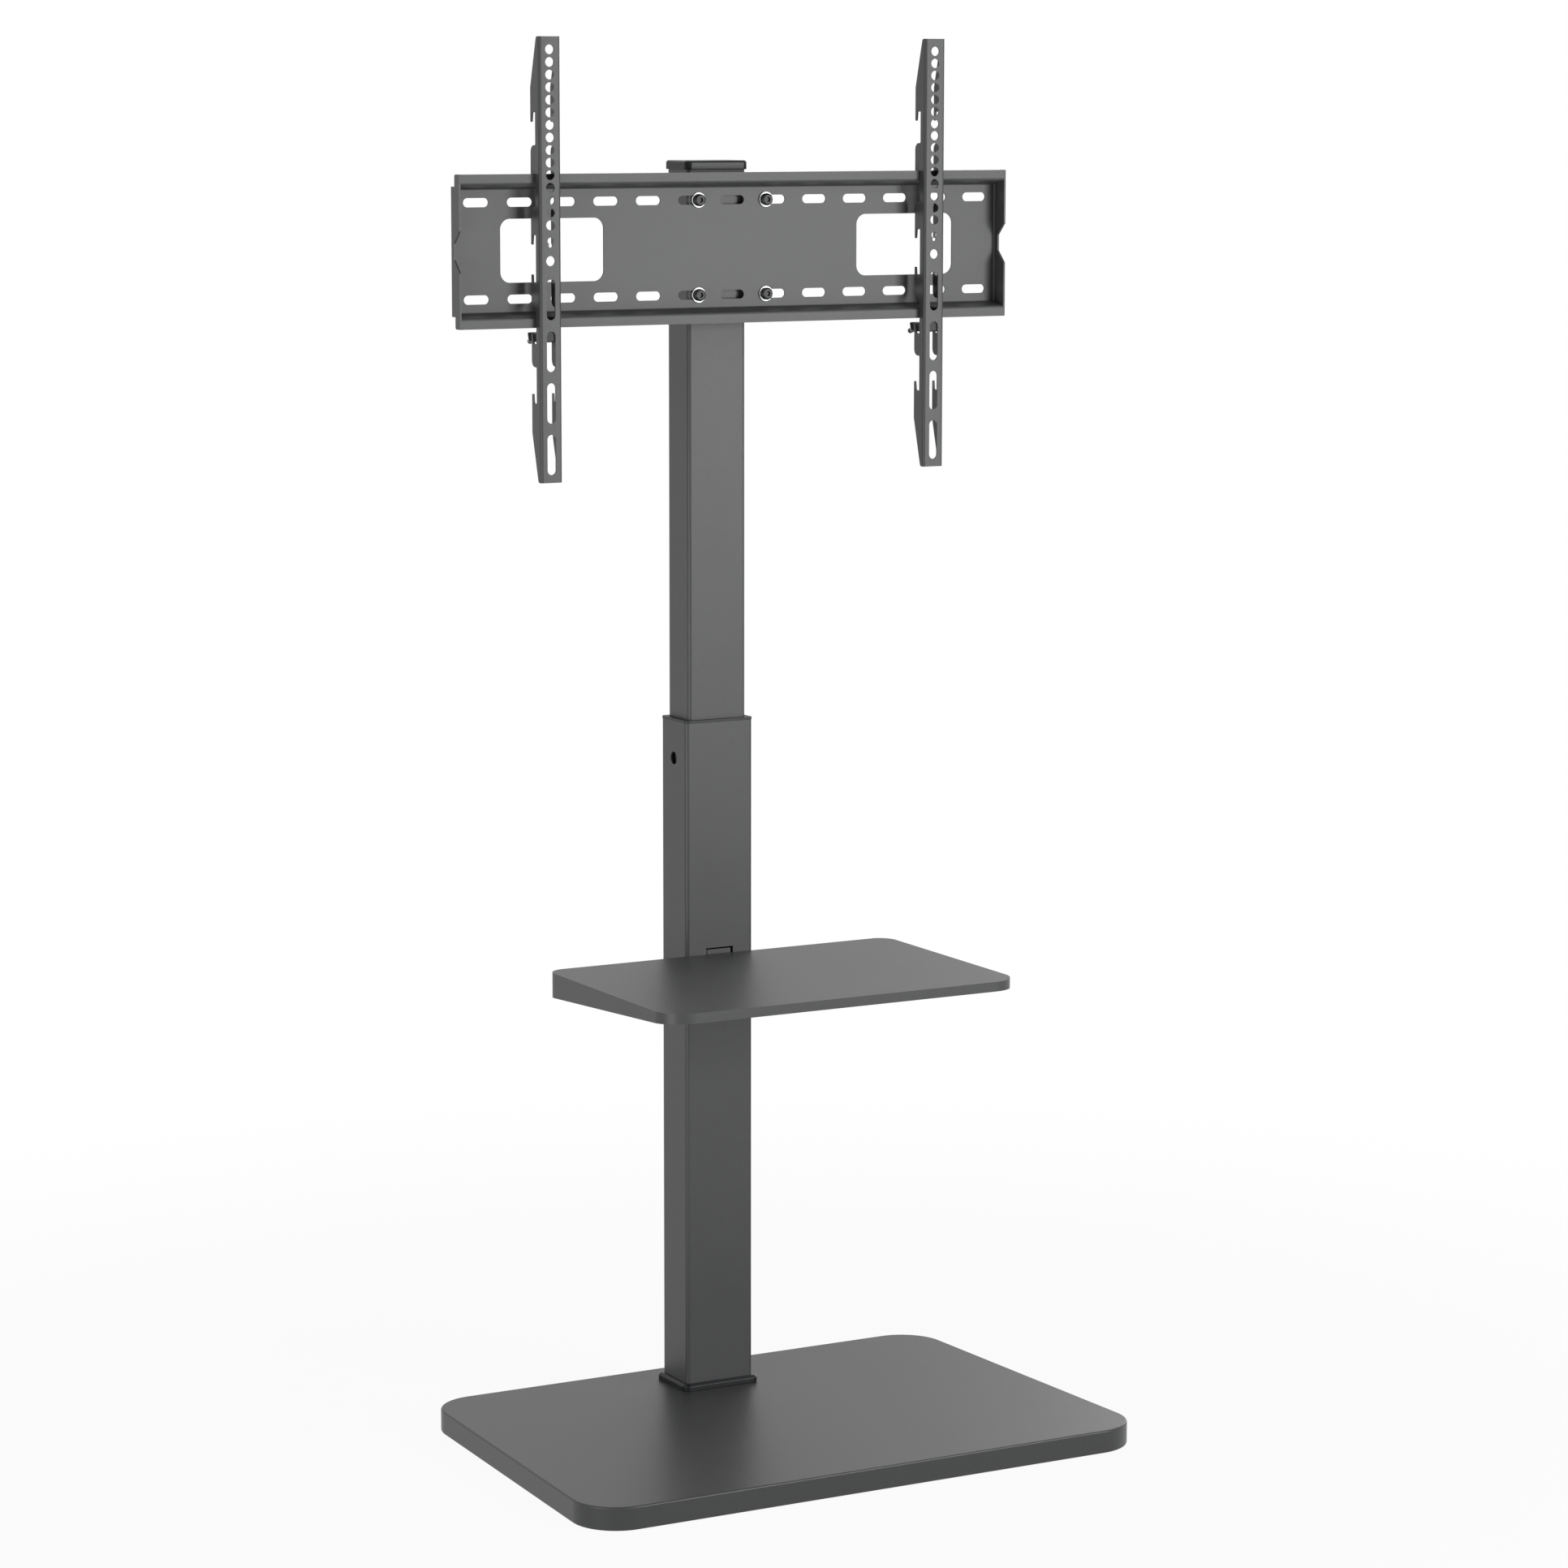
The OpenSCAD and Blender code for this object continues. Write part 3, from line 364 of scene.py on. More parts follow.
class Palette:
    """The finishes of the stand, one for each material slot."""

    # The edge highlight colours and gains below paint a highlight along sharp edges, brightest on
    # the zinc.
    FINISHES = {
        Slot.COAT: Finish("powder coat", (0.061, 0.062, 0.064), specular=0.4, speckle=0.12,
                          roughness=(0.38, 0.45), relief=0.03 * MM,
                          edge_highlight_colour=(0.12, 0.122, 0.125), edge_highlight_gain=0.9),
        Slot.BOARD: Finish("board lacquer", (0.045, 0.046, 0.047), specular=0.4, speckle=0.12,
                           patchiness=0.05, roughness=(0.34, 0.42), relief=0.03 * MM,
                           grain=1.2 * MM, speck=2.4 * MM, patch=120 * MM,
                           edge_highlight_colour=(0.09, 0.092, 0.094)),
        Slot.GLOSS: Finish("smooth moulding", (0.018, 0.019, 0.020), speckle=0.08,
                           specular=0.18, roughness=(0.2, 0.28), relief=0.008 * MM,
                           edge_highlight_colour=(0.05, 0.05, 0.052)),
        Slot.MOULDING: Finish("matt moulding", (0.026, 0.027, 0.028), speckle=0.15,
                              roughness=(0.4, 0.55), specular=0.35,
                              edge_highlight_colour=(0.06, 0.06, 0.062)),
        Slot.RUBBER: Finish("rubber", (0.02, 0.02, 0.02), roughness=(0.7, 0.85),
                            specular=0.3, edge_highlight_colour=(0.045, 0.045, 0.045)),
        Slot.BLACKENED: Finish("blackened steel", (0.010, 0.0105, 0.011), specular=0.25,
                               speckle=0.1, roughness=(0.28, 0.4), grain=0.4 * MM,
                               relief=0.01 * MM, edge_highlight_colour=(0.05, 0.05, 0.052),
                               edge_highlight_gain=1.2),
        Slot.ZINC: Finish("zinc plating", (0.34, 0.345, 0.35), metallic=1.0, speckle=0.08,
                          roughness=(0.26, 0.38), grain=0.5 * MM, relief=0.008 * MM,
                          edge_highlight_colour=(0.75, 0.75, 0.75), edge_highlight_gain=2.5),
    }

    def __init__(self) -> None:
        """Builds every material."""
        effects = Effects()
        self.made = {slot: f.build(effects) for slot, f in self.FINISHES.items()}

    def dress(self, piece: bpy.types.Object, slot: Slot) -> None:
        """Gives a piece the finish of a slot."""
        piece.data.materials.clear()
        piece.data.materials.append(self.made[slot])


class Bench:
    """Modelling steps that pieces share.

    Attributes:
        MERGE: corners closer together than this become one.
        FLAT: faces that turn less than this become one, in degrees.
        MARGIN: how far past a rounding's least angle faces still shade as one, in degrees.
        LEVEL: the most that a side face's normal leans up or down.
        BEAD_STEPS: facets of a weld bead between two of its four main directions.
        RIPPLE: rise of a weld bead's ripple, as a share of its radius.
    """

    MERGE = 0.002 * MM
    FLAT = 0.4
    MARGIN = 3.0
    LEVEL = 0.2
    BEAD_STEPS = 2
    RIPPLE = 0.12

    @staticmethod
    def activate(piece: bpy.types.Object) -> None:
        """Selects one object alone and makes it active."""
        bpy.ops.object.select_all(action="DESELECT")
        piece.select_set(True)
        bpy.context.view_layer.objects.active = piece

    @staticmethod
    def edit(select: bool = True) -> None:
        """Opens the active mesh for editing, with all or nothing selected."""
        bpy.ops.object.mode_set(mode="EDIT")
        bpy.ops.mesh.select_all(action="SELECT" if select else "DESELECT")

    @staticmethod
    def close() -> None:
        """Ends editing."""
        bpy.ops.object.mode_set(mode="OBJECT")

    @classmethod
    def merged_copy(cls, node: bpy.types.Object, name: str) -> bpy.types.Object:
        """Copies a node's mesh into a new piece, with its loose triangles joined.

        Args:
            node: the node to copy.
            name: the new piece's name.

        Returns:
            The new piece, in the node's place.
        """
        piece = bpy.data.objects.new(name, node.data.copy())
        bpy.context.scene.collection.objects.link(piece)
        cls.activate(piece)
        bpy.ops.mesh.customdata_custom_splitnormals_clear()
        cls.edit()
        bpy.ops.mesh.remove_doubles(threshold=cls.MERGE)
        bpy.ops.mesh.dissolve_limited(angle_limit=math.radians(cls.FLAT))
        cls.close()
        return piece

    @classmethod
    def soften(cls, piece: bpy.types.Object, width: float, segments: int = 2,
               angle: float = 35.0) -> None:
        """Rounds a piece's sharp edges and keeps its flat faces flat in the light.

        Args:
            piece: the piece.
            width: the rounding's width.
            segments: how many facets it has.
            angle: the least turn between faces that counts as an edge, in degrees.
        """
        cls.activate(piece)
        bevel = piece.modifiers.new("soft edges", "BEVEL")
        bevel.width = width
        bevel.segments = segments
        bevel.limit_method = "ANGLE"
        bevel.angle_limit = math.radians(angle)
        bevel.use_clamp_overlap = True
        bpy.ops.object.modifier_apply(modifier=bevel.name)
        bpy.ops.object.shade_smooth_by_angle(angle=math.radians(angle + cls.MARGIN))
        flat = piece.modifiers.new("flat faces", "WEIGHTED_NORMAL")
        flat.keep_sharp = True
        bpy.ops.object.modifier_apply(modifier=flat.name)

    @classmethod
    def turned(cls, name: str, profile: tuple, vertices: int) -> bpy.types.Object:
        """Turns a closed piece on the lathe: rings grown one from the other along Z.

        Args:
            name: the piece's name.
            profile: radius and height of each ring, from the bottom up.
            vertices: corners of each ring.

        Returns:
            The piece, at the origin.
        """
        bpy.ops.object.select_all(action="DESELECT")
        radius, height = profile[0]
        bpy.ops.mesh.primitive_circle_add(vertices=vertices, radius=radius,
                                          fill_type="NGON", location=(0, 0, height))
        piece = bpy.context.object
        piece.name = name
        bpy.ops.object.transform_apply(location=True, rotation=True, scale=True)
        cls.edit()
        for (low_r, low_z), (high_r, high_z) in zip(profile, profile[1:]):
            step = {"value": (0, 0, high_z - low_z)}
            bpy.ops.mesh.extrude_region_move(TRANSFORM_OT_translate=step)
            size = high_r / low_r
            bpy.ops.transform.resize(value=(size, size, 1), center_override=(0, 0, high_z))
        bpy.ops.mesh.select_all(action="SELECT")
        bpy.ops.mesh.normals_make_consistent(inside=False)
        cls.close()
        return piece

    @classmethod
    def flute(cls, piece: bpy.types.Object, low: float, high: float, rise: float) -> None:
        """Raises or sinks every second side face between two heights, as a grip.

        Args:
            piece: a turned piece at the origin.
            low: lowest height of the grip.
            high: highest height of the grip.
            rise: how far the faces rise, or sink where it is below 0.
        """
        cls.activate(piece)
        sides = [(round(f.center.z, 6), math.atan2(f.center.y, f.center.x), f.index)
                 for f in piece.data.polygons
                 if abs(f.normal.z) < cls.LEVEL and low < f.center.z < high]
        raised = {index for _, _, index in sorted(sides)[::2]}
        cls.edit(select=False)
        bpy.ops.mesh.select_mode(type="FACE")
        cls.close()
        for face in piece.data.polygons:
            face.select = face.index in raised
        bpy.ops.object.mode_set(mode="EDIT")
        bpy.ops.mesh.inset(thickness=rise, use_individual=True)
        bpy.ops.transform.shrink_fatten(value=rise)
        cls.close()

    @classmethod
    def place(cls, piece: bpy.types.Object, matrix: Matrix) -> None:
        """Moves a piece's mesh to its place and leaves its object at the origin."""
        cls.activate(piece)
        piece.matrix_world = matrix
        bpy.ops.object.transform_apply(location=True, rotation=True, scale=True)

    @classmethod
    def bead(cls, name: str, path: bpy.types.Object, radius: float) -> bpy.types.Object:
        """Turns a closed loop of edges into a weld bead with a slight ripple.

        Args:
            name: the bead's name.
            path: an object that holds the loop.
            radius: the bead's radius.

        Returns:
            The bead, made from the path.
        """
        cls.activate(path)
        path.name = name
        bpy.ops.object.convert(target="CURVE")
        path.data.bevel_depth = radius
        path.data.bevel_resolution = cls.BEAD_STEPS
        bpy.ops.object.convert(target="MESH")
        ring = 2 * (cls.BEAD_STEPS + 2)
        cls.edit(select=False)
        bpy.ops.mesh.select_mode(type="VERT")
        cls.close()
        for vertex in path.data.vertices:
            vertex.select = (vertex.index // ring) % 2 == 0
        bpy.ops.object.mode_set(mode="EDIT")
        bpy.ops.transform.shrink_fatten(value=cls.RIPPLE * radius)
        bpy.ops.mesh.select_all(action="SELECT")
        bpy.ops.mesh.normals_make_consistent(inside=False)
        cls.close()
        bpy.ops.object.shade_smooth()
        return path

    @classmethod
    def joined(cls, name: str, parts: list) -> bpy.types.Object:
        """Joins several objects into one piece of that name."""
        cls.activate(parts[0])
        for part in parts:
            part.select_set(True)
        bpy.ops.object.join()
        parts[0].name = name
        return parts[0]

    @classmethod
    def twin(cls, piece: bpy.types.Object, move: tuple) -> bpy.types.Object:
        """Copies a piece with its own mesh and shifts the copy's mesh."""
        copy = bpy.data.objects.new(piece.name, piece.data.copy())
        bpy.context.scene.collection.objects.link(copy)
        cls.place(copy, Matrix.Translation(move))
        return copy


class Maker:
    """Makes the visible pieces and places them on their bodies."""

    def __init__(self, frame: dict, palette: Palette) -> None:
        """Keeps the frame and the finishes."""
        self.nodes = frame["nodes"]
        self.palette = palette

    def refine(self, node: str, slot: Slot, body: Body, edge: float,
               angle: float = 35.0) -> bpy.types.Object:
        """Replaces a node with a copy whose edges are softly rounded.

        Args:
            node: the node's name.
            slot: its material slot.
            body: the body that it rides on.
            edge: width of the rounding.
            angle: the least turn between faces that counts as an edge, in degrees.

        Returns:
            The new piece.
        """
        piece = Bench.merged_copy(self.nodes[node], f"{node}_fine")
        Bench.soften(piece, edge, angle=angle)
        return self.settle(piece, slot, body, node)

    def settle(self, piece: bpy.types.Object, slot: Slot, body: Body,
               *nodes: str) -> bpy.types.Object:
        """Dresses a piece, puts it on its body and lets it stand for nodes."""
        self.palette.dress(piece, slot)
        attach(piece, body.value)
        if nodes:
            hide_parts(*nodes)
        LOG.info("%s: %d faces", piece.name, len(piece.data.polygons))
        return piece


@dataclass
class Base:
    """The base board with its pads, steel plate, bolts, foot plate and collar.

    Attributes:
        board_edge: rounding of the board's edges.
        board_turn: the least turn between its faces that is rounded, in degrees.
        steel_edge: rounding of the steel plates' edges.
        bolt_edge: rounding of the bolts' edges.
        collar_edge: rounding of the collar's edges.
        pad_radius: radius of a rubber pad.
        pad_height: height of a rubber pad.
        pad_back: half the distance between the back pads.
        pad_front: half the distance between the front pads.
        pad_y: distance of both rows of pads from the middle.
        pad_corners: corners round a pad.
        pad_heart: radius where the pad's turning starts, as a share of its radius.
        pad_grooves: where its two grooves start, as shares of its radius.
        groove_slope: width of a groove's sloped wall, as a share.
        groove_flat: width of a groove's flat bottom, as a share.
        pad_chamfer: width of the chamfer round the pad, as a share.
        smooth: least turn between a pad's faces that shades as an edge, in degrees.
    """

    board_edge: float = 0.6 * MM
    board_turn: float = 20.0
    steel_edge: float = 0.4 * MM
    bolt_edge: float = 0.3 * MM
    collar_edge: float = 0.5 * MM
    pad_radius: float = 17 * MM
    pad_height: float = 1.5 * MM
    pad_back: float = 262 * MM
    pad_front: float = 285.5 * MM
    pad_y: float = 177 * MM
    pad_corners: int = 40
    pad_heart: float = 0.1
    pad_grooves: tuple = (0.28, 0.62)
    groove_slope: float = 0.04
    groove_flat: float = 0.1
    pad_chamfer: float = 0.03
    smooth: float = 30.0

    def build(self, maker: Maker) -> None:
        """Builds the base's pieces."""
        maker.refine("base_board", Slot.BOARD, Body.STAND, self.board_edge,
                     angle=self.board_turn)
        maker.refine("base_underplate", Slot.COAT, Body.STAND, self.steel_edge)
        maker.refine("base_bolts", Slot.BLACKENED, Body.STAND, self.bolt_edge)
        maker.refine("foot_plate", Slot.COAT, Body.STAND, self.steel_edge)
        maker.refine("foot_collar", Slot.GLOSS, Body.STAND, self.collar_edge)
        self._pads(maker)

    def _pads(self, maker: Maker) -> None:
        """Turns one grooved rubber pad and copies it to its five places."""
        rib = self.pad_height / 4
        shares = [(self.pad_heart, 0.0)]
        for start in self.pad_grooves:
            bottom = start + self.groove_slope
            rise = bottom + self.groove_flat
            shares.append((start, 0.0))
            shares.append((bottom, rib))
            shares.append((rise, rib))
            shares.append((rise + self.groove_slope, 0.0))
        shares.append((1 - self.pad_chamfer, 0.0))
        shares.append((1.0, rib))
        shares.append((1.0, self.pad_height))
        profile = tuple((self.pad_radius * share, height) for share, height in shares)
        first = Bench.turned("pad", profile, self.pad_corners)
        bpy.ops.object.shade_smooth_by_angle(angle=math.radians(self.smooth))
        places = ((-self.pad_back, self.pad_y), (self.pad_back, self.pad_y),
                  (-self.pad_front, -self.pad_y), (self.pad_front, -self.pad_y),
                  (0.0, -self.pad_y))
        pads = [Bench.twin(first, (x, y, 0.0)) for x, y in places]
        bpy.data.objects.remove(first)
        piece = Bench.joined("base_pads_ribbed", pads)
        maker.settle(piece, Slot.RUBBER, Body.STAND, "base_pads")


@dataclass
class LowerColumn:
    """The lower tube with its bushing, weld nut and clamp screw.

    Attributes:
        tube_edge: rounding of the tube's cut edges.
        bushing_edge: rounding of the bushing's rim.
        nut_edge: rounding of the nut's edges.
        back_y: the tube's back face.
        clamp_z: height of the clamp screw.
        nut_weld: radius of the weld round the nut.
        weld_r: radius of the weld bead.
        screw_tip_y: where the clamp screw's tip lies.
        thread_len: length of the clamp screw's thread.
        thread_r: radius over the thread's crests.
        thread_pitch: distance between the crests.
        head_r: radius of the clamp screw's head.
        head_len: length of the clamp screw's head.
        socket: width across the flats of the hexagon socket.
        corners: corners round the screw.
        thread_depth: depth of the thread, as a share of its pitch.
        rib: how far the grip's ribs stand in.
        weld_corners: corners of the weld's path.
        smooth: least turn between faces that shades as an edge, in degrees.
    """

    tube_edge: float = 0.3 * MM
    bushing_edge: float = 0.3 * MM
    nut_edge: float = 0.4 * MM
    back_y: float = 185 * MM
    clamp_z: float = 700.5 * MM
    nut_weld: float = 7.6 * MM
    weld_r: float = 1.2 * MM
    screw_tip_y: float = 180.3 * MM
    thread_len: float = 17.2 * MM
    thread_r: float = 4.0 * MM
    thread_pitch: float = 1.25 * MM
    head_r: float = 6.5 * MM
    head_len: float = 8.0 * MM
    socket: float = 5.0 * MM
    corners: int = 40
    thread_depth: float = 0.45
    rib: float = 0.25 * MM
    weld_corners: int = 44
    smooth: float = 25.0

    def build(self, maker: Maker) -> None:
        """Builds the lower column's pieces."""
        maker.refine("lower_column", Slot.COAT, Body.STAND, self.tube_edge)
        maker.refine("column_bushing", Slot.MOULDING, Body.STAND, self.bushing_edge)
        maker.refine("clamp_nut", Slot.BLACKENED, Body.STAND, self.nut_edge)
        self._weld(maker)
        self._clamp_screw(maker)

    def _weld(self, maker: Maker) -> None:
        """Lays the weld bead between the nut and the tube."""
        bpy.ops.object.select_all(action="DESELECT")
        bpy.ops.mesh.primitive_circle_add(vertices=self.weld_corners, radius=self.nut_weld,
                                          location=(0, self.back_y, self.clamp_z),
                                          rotation=(math.pi / 2, 0, 0))
        path = bpy.context.object
        bpy.ops.object.transform_apply(location=True, rotation=True, scale=True)
        piece = Bench.bead("clamp_nut_weld", path, self.weld_r)
        maker.settle(piece, Slot.COAT, Body.STAND)

    def _clamp_screw(self, maker: Maker) -> None:
        """Turns the clamp screw: a threaded shank and a fluted head with a socket."""
        crest = self.thread_r
        root = crest - self.thread_depth * self.thread_pitch
        half = self.thread_pitch / 2
        rings = [(root, 0.0)]
        for turn in range(int(self.thread_len / self.thread_pitch)):
            start = turn * self.thread_pitch
            rings.append((crest, start + half))
            rings.append((root, start + 2 * half))
        shoulder = self.thread_len
        end = shoulder + self.head_len
        chamfer = self.head_r / 7
        rings.append((root, shoulder))
        rings.append((self.head_r - chamfer, shoulder))
        rings.append((self.head_r, shoulder + chamfer))
        rings.append((self.head_r, end - chamfer))
        rings.append((self.head_r - chamfer, end))
        piece = Bench.turned("clamp_screw_threaded", tuple(rings), self.corners)
        Bench.flute(piece, shoulder + chamfer, end - chamfer, -self.rib)
        bpy.ops.object.select_all(action="DESELECT")
        bpy.ops.mesh.primitive_cylinder_add(vertices=6, depth=self.head_len,
                                            radius=self.socket / math.sqrt(3),
                                            location=(0, 0, end))
        tool = bpy.context.object
        Bench.activate(piece)
        cut = piece.modifiers.new("socket", "BOOLEAN")
        cut.operation = "DIFFERENCE"
        cut.object = tool
        bpy.ops.object.modifier_apply(modifier=cut.name)
        bpy.data.objects.remove(tool)
        bpy.ops.object.shade_smooth_by_angle(angle=math.radians(self.smooth))
        turn = Matrix.Rotation(-math.pi / 2, 4, "X")
        Bench.place(piece, Matrix.Translation((0, self.screw_tip_y, self.clamp_z)) @ turn)
        maker.settle(piece, Slot.BLACKENED, Body.CLAMP, "clamp_screw")


@dataclass
class Shelf:
    """The folded shelf with its screws and threaded inserts.

    Attributes:
        panel_edge: rounding of the shelf's folded edges.
        screw_edge: rounding of the screws' edges.
        insert_edge: rounding of the inserts' edges.
    """

    panel_edge: float = 0.7 * MM
    screw_edge: float = 0.2 * MM
    insert_edge: float = 0.2 * MM

    def build(self, maker: Maker) -> None:
        """Builds the shelf's pieces."""
        maker.refine("shelf_panel", Slot.COAT, Body.STAND, self.panel_edge)
        maker.refine("shelf_screws", Slot.BLACKENED, Body.STAND, self.screw_edge)
        maker.refine("shelf_inserts", Slot.ZINC, Body.STAND, self.insert_edge)


@dataclass
class Mast:
    """The upper tube with its glide, cap, head bracket and bolted mount plate.

    Attributes:
        tube_edge: rounding of the tube's cut edges.
        cap_edge: rounding of the cap's edges.
        sheet_edge: rounding of the pressed sheets' edges.
        nut_edge: rounding of the nuts' edges.
        bolt_edge: rounding of the bolts' edges.
        washer_edge: rounding of the washers' edges.
        box_w: width of the bracket's box where it meets the column.
        box_h: height of the bracket's box.
        box_r: corner radius of the bracket's box.
        box_y: the column's front face.
        box_z: height of the box's middle.
        weld_r: radius of the weld bead.
        weld_steps: facets of each corner of the weld's path.
        halvings: how often a long run of that path is cut in half at most.
    """

    tube_edge: float = 0.3 * MM
    cap_edge: float = 0.6 * MM
    sheet_edge: float = 0.35 * MM
    nut_edge: float = 0.4 * MM
    bolt_edge: float = 0.35 * MM
    washer_edge: float = 0.3 * MM
    box_w: float = 40 * MM
    box_h: float = 100 * MM
    box_r: float = 6 * MM
    box_y: float = 132 * MM
    box_z: float = 1282.5 * MM
    weld_r: float = 1.6 * MM
    weld_steps: int = 5
    halvings: int = 6

    def build(self, maker: Maker) -> None:
        """Builds the mast's pieces."""
        maker.refine("upper_column", Slot.COAT, Body.MAST, self.tube_edge)
        maker.refine("lower_glide", Slot.MOULDING, Body.MAST, self.nut_edge)
        maker.refine("top_cap", Slot.GLOSS, Body.MAST, self.cap_edge)
        maker.refine("head_bracket", Slot.COAT, Body.MAST, self.sheet_edge)
        maker.refine("mount_plate", Slot.COAT, Body.MAST, self.sheet_edge)
        maker.refine("plate_nuts", Slot.BLACKENED, Body.MAST, self.nut_edge)
        maker.refine("plate_washers", Slot.ZINC, Body.MAST, self.washer_edge)
        maker.refine("plate_bolts", Slot.BLACKENED, Body.MAST, self.bolt_edge)
        self._weld(maker)

    def _weld(self, maker: Maker) -> None:
        """Lays the weld bead between the bracket's box and the column."""
        bpy.ops.object.select_all(action="DESELECT")
        bpy.ops.mesh.primitive_plane_add(size=1.0, location=(0, self.box_y, self.box_z),
                                         rotation=(math.pi / 2, 0, 0))
        path = bpy.context.object
        path.scale = (self.box_w, self.box_h, 1.0)
        bpy.ops.object.transform_apply(location=True, rotation=True, scale=True)
        Bench.edit()
        bpy.ops.mesh.delete(type="ONLY_FACE")
        bpy.ops.mesh.select_all(action="SELECT")
        bpy.ops.mesh.bevel(offset=self.box_r, segments=self.weld_steps, affect="VERTICES")
        Bench.close()
        self._divide_long_edges(path)
        piece = Bench.bead("head_bracket_weld", path, self.weld_r)
        maker.settle(piece, Slot.COAT, Body.MAST)

    def _divide_long_edges(self, path: bpy.types.Object) -> None:
        """Halves the loop's straight runs until no step is longer than the bead is thick."""
        step = 2 * self.weld_r
        for _ in range(self.halvings):
            places = [v.co.copy() for v in path.data.vertices]
            Bench.activate(path)
            Bench.edit(select=False)
            bpy.ops.mesh.select_mode(type="EDGE")
            Bench.close()
            for edge in path.data.edges:
                a, b = edge.vertices
                edge.select = (places[a] - places[b]).length > step
            bpy.ops.object.mode_set(mode="EDIT")
            bpy.ops.mesh.subdivide(number_cuts=1)
            Bench.close()


@dataclass
class HookedArm:
    """One hooked arm with its lock block, spring plate and thumb screw.

    Attributes:
        side: which arm.
        sheet_edge: rounding of the pressed arm's edges.
        block_edge: rounding of the lock block's edges.
        plate_edge: rounding of the zinc plate's edges.
        slant: the lock screw's slant, in degrees.
        head_r: radius of the thumb screw's head.
        head_len: length of its head.
        shank_r: radius of its shank.
        shank_len: length of its shank.
        rib: how far the ribs of its grip stand in.
        corners: corners round the thumb screw.
        smooth: least turn between faces that shades as an edge, in degrees.
    """

    side: Side
    sheet_edge: float = 0.35 * MM
    block_edge: float = 0.4 * MM
    plate_edge: float = 0.2 * MM
    slant: float = 15.0
    head_r: float = 2.8 * MM
    head_len: float = 23 * MM
    shank_r: float = 2.0 * MM
    shank_len: float = 9.2 * MM
    rib: float = 0.2 * MM
    corners: int = 20
    smooth: float = 22.0

    def build(self, maker: Maker) -> None:
        """Builds the arm's pieces."""
        word, arm, lock, _ = self.side.value
        maker.refine(f"{word}_arm", Slot.COAT, arm, self.sheet_edge)
        maker.refine(f"{word}_lock_block", Slot.MOULDING, lock, self.block_edge)
        maker.refine(f"{word}_lock_plate", Slot.ZINC, lock, self.plate_edge)
        self._thumb_screw(maker)

    def _thumb_screw(self, maker: Maker) -> None:
        """Turns the thumb screw with its ribbed head and sets it on its slanted axis."""
        word, _, _, thumb = self.side.value
        chamfer = self.head_r / 3
        neck = self.head_len
        profile = ((self.head_r - chamfer, 0.0), (self.head_r, chamfer),
                   (self.head_r, neck - 2 * chamfer), (self.head_r - chamfer, neck - chamfer),
                   (self.head_r, neck), (self.shank_r, neck),
                   (self.shank_r, neck + self.shank_len - chamfer),
                   (self.shank_r - chamfer, neck + self.shank_len))
        piece = Bench.turned(f"{word}_thumb_screw", profile, self.corners)
        Bench.flute(piece, chamfer, neck - 2 * chamfer, -self.rib)
        bpy.ops.object.shade_smooth_by_angle(angle=math.radians(self.smooth))
        low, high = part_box(f"{word}_lock_screw")
        tilt = Matrix.Rotation(math.radians(90 - self.slant), 4, "X")
        lean = math.radians(self.slant)
        rim = self.head_r - chamfer
        tail_y = high[1] - rim * math.sin(lean)
        drop = max(rim * math.cos(lean), self.head_r * math.cos(lean) - chamfer * math.sin(lean))
        tail = ((low[0] + high[0]) / 2, tail_y, low[2] + drop)
        Bench.place(piece, Matrix.Translation(tail) @ tilt)
        maker.settle(piece, Slot.BLACKENED, thumb, f"{word}_lock_screw")


@dataclass(frozen=True)
class PhotoCamera:
    """The camera that took the photograph, solved from the object's edges.

    Attributes:
        azimuth: its turn round the object, in degrees.
        elevation: its height above the horizon, in degrees.
        roll: its roll, in degrees.
        focal_px: focal length in pixels of the photograph.
        image_px: the photograph's width.
        place: where it stands.
        sensor: sensor width in Blender's millimetres.
        reach: how far the camera sees.
    """

    azimuth: float = -28.8992
    elevation: float = 8.4803
    roll: float = 0.0749
    focal_px: float = 5777.16
    image_px: int = 1932
    place: tuple = (-2.3754, -4.3212, 1.4531)
    sensor: float = 36.0
    reach: float = 60.0

    def build(self) -> None:
        """Makes the camera and hands it to the scene."""
        a = math.radians(self.azimuth)
        e = math.radians(self.elevation)
        r = math.radians(self.roll)
        back = Vector((math.sin(a) * math.cos(e), -math.cos(a) * math.cos(e), math.sin(e)))
        right = Vector((math.cos(a), math.sin(a), 0.0))
        up = back.cross(right)
        across = right * math.cos(r) + up * math.sin(r)
        above = up * math.cos(r) - right * math.sin(r)
        data = bpy.data.cameras.new("photo camera")
        data.sensor_width = self.sensor
        data.lens = self.sensor * self.focal_px / self.image_px
        data.clip_end = self.reach
        camera = bpy.data.objects.new("photo camera", data)
        turn = Matrix((across, above, back)).transposed().to_4x4()
        camera.matrix_world = Matrix.Translation(self.place) @ turn
        bpy.context.scene.collection.objects.link(camera)
        bpy.context.scene.camera = camera


@dataclass(frozen=True)
class Softbox:
    """A square lamp that points at a target.

    Attributes:
        name: the lamp's name.
        place: where it hangs.
        target: what it points at.
        side: its side length.
        power: its power in watts.
    """

    name: str
    place: tuple
    target: tuple
    side: float
    power: float

    def build(self) -> None:
        """Hangs the lamp."""
        data = bpy.data.lights.new(self.name, "AREA")
        data.shape = "SQUARE"
        data.size = self.side
        data.energy = self.power
        lamp = bpy.data.objects.new(self.name, data)
        lamp.location = self.place
        aim = Vector(self.target) - Vector(self.place)
        lamp.rotation_euler = aim.to_track_quat("-Z", "Y").to_euler()
        bpy.context.scene.collection.objects.link(lamp)


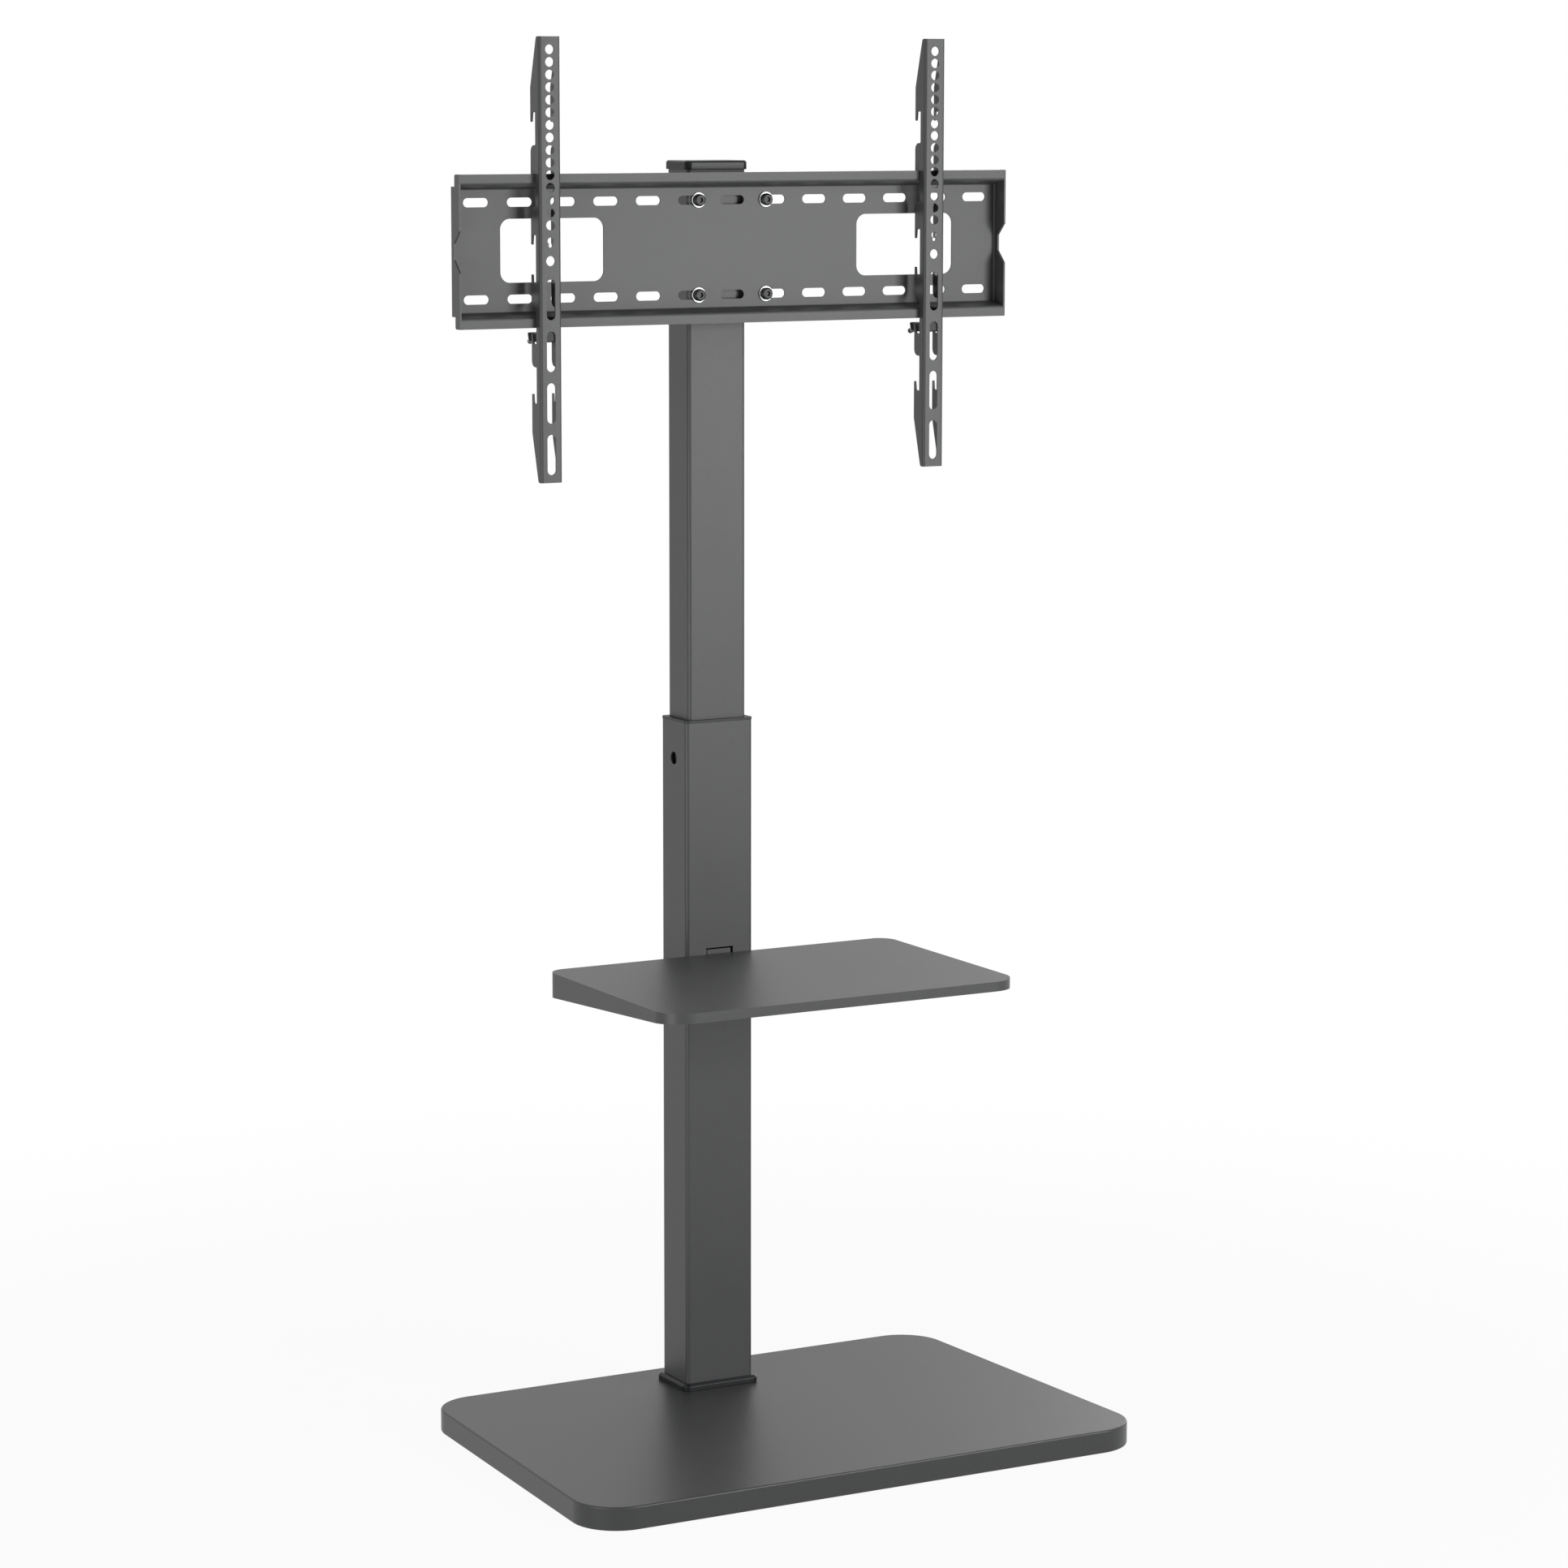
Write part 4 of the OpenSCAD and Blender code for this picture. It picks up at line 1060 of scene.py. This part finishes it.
class Studio:
    """Floor, backdrop, lamps and camera.

    Attributes:
        LAMPS: the softboxes.
        FLOOR_HALF: half the floor's width.
        FLOOR_PAINT: the floor's colour in the lamps' light.
        FLOOR_START: distance from the middle where the floor starts to fade to white.
        FLOOR_END: distance where it is all white.
        FLOOR_NEAR: how much of the white shows near the stand, where the shadow falls.
        AMBIENT: strength of the light that comes from all round.
    """

    LAMPS = (
        Softbox("key", (1.6, -3.0, 1.2), (0.0, 0.0, 0.9), 1.4, 64.0),
        Softbox("upper", (1.3, -1.5, 2.3), (0.0, 0.1, 1.1), 1.0, 6.0),
        Softbox("low left", (-2.4, -1.0, 0.5), (0.0, 0.0, 0.1), 1.0, 24.0),
        Softbox("rear", (3.2, 2.6, 1.6), (0.0, 0.0, 0.6), 1.8, 20.0),
    )
    FLOOR_HALF = 14.0
    FLOOR_PAINT = (0.86, 0.86, 0.86, 1.0)
    FLOOR_START = 0.5
    FLOOR_END = 2.0
    FLOOR_NEAR = 0.94
    AMBIENT = 0.12

    def build(self) -> None:
        """Builds the studio."""
        self._floor()
        self._world()
        for lamp in self.LAMPS:
            lamp.build()
        PhotoCamera().build()
        bpy.context.scene.view_settings.view_transform = "Standard"

    def _seen(self, tree: bpy.types.NodeTree) -> bpy.types.NodeSocket:
        """Adds a mask that is 1 for the camera and for what metal and glass show.

        Args:
            tree: the node tree.

        Returns:
            The mask's socket.
        """
        path = tree.nodes.new("ShaderNodeLightPath")
        mask = path.outputs["Is Camera Ray"]
        for name in ("Is Glossy Ray", "Is Transmission Ray"):
            most = tree.nodes.new("ShaderNodeMath")
            most.operation = "MAXIMUM"
            tree.links.new(mask, most.inputs[0])
            tree.links.new(path.outputs[name], most.inputs[1])
            mask = most.outputs[0]
        return mask

    def _floor(self) -> None:
        """Lays a pale floor that keeps the shadow near the stand and ends in white."""
        bpy.ops.object.select_all(action="DESELECT")
        bpy.ops.mesh.primitive_plane_add(size=2 * self.FLOOR_HALF, location=(0, 0, 0))
        floor = bpy.context.object
        floor.name = "studio_floor"
        material = bpy.data.materials.new("studio floor")
        material.use_nodes = True
        tree = material.node_tree
        tree.nodes.clear()
        out = tree.nodes.new("ShaderNodeOutputMaterial")
        matt = tree.nodes.new("ShaderNodeBsdfDiffuse")
        matt.inputs["Color"].default_value = self.FLOOR_PAINT
        glow = tree.nodes.new("ShaderNodeEmission")
        glow.inputs["Strength"].default_value = 1.0
        place = tree.nodes.new("ShaderNodeTexCoord")
        away = tree.nodes.new("ShaderNodeVectorMath")
        away.operation = "LENGTH"
        share = tree.nodes.new("ShaderNodeMapRange")
        share.interpolation_type = "SMOOTHSTEP"
        share.inputs["From Min"].default_value = self.FLOOR_START
        share.inputs["From Max"].default_value = self.FLOOR_END
        share.inputs["To Min"].default_value = self.FLOOR_NEAR
        share.inputs["To Max"].default_value = 1.0
        seen = tree.nodes.new("ShaderNodeMath")
        seen.operation = "MULTIPLY"
        mix = tree.nodes.new("ShaderNodeMixShader")
        tree.links.new(place.outputs["Object"], away.inputs[0])
        tree.links.new(away.outputs["Value"], share.inputs["Value"])
        tree.links.new(self._seen(tree), seen.inputs[0])
        tree.links.new(share.outputs["Result"], seen.inputs[1])
        tree.links.new(seen.outputs[0], mix.inputs["Fac"])
        tree.links.new(matt.outputs[0], mix.inputs[1])
        tree.links.new(glow.outputs[0], mix.inputs[2])
        tree.links.new(mix.outputs[0], out.inputs["Surface"])
        floor.data.materials.append(material)

    def _world(self) -> None:
        """Gives a white background to the eye and to reflections, and a grey ambient light."""
        world = bpy.data.worlds.new("studio")
        bpy.context.scene.world = world
        world.use_nodes = True
        tree = world.node_tree
        tree.nodes.clear()
        out = tree.nodes.new("ShaderNodeOutputWorld")
        room = tree.nodes.new("ShaderNodeBackground")
        room.inputs["Color"].default_value = WHITE
        room.inputs["Strength"].default_value = self.AMBIENT
        white = tree.nodes.new("ShaderNodeBackground")
        white.inputs["Color"].default_value = WHITE
        mix = tree.nodes.new("ShaderNodeMixShader")
        tree.links.new(self._seen(tree), mix.inputs["Fac"])
        tree.links.new(room.outputs[0], mix.inputs[1])
        tree.links.new(white.outputs[0], mix.inputs[2])
        tree.links.new(mix.outputs[0], out.inputs["Surface"])


def main() -> None:
    """Builds the studio and every sub-assembly."""
    logging.basicConfig(level=logging.INFO, format="%(message)s")
    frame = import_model()
    Studio().build()
    maker = Maker(frame, Palette())
    for assembly in (Base(), LowerColumn(), Shelf(), Mast(), HookedArm(Side.LEFT),
                     HookedArm(Side.RIGHT)):
        LOG.info("%s", type(assembly).__name__)
        assembly.build(maker)


if __name__ == "__main__":
    main()
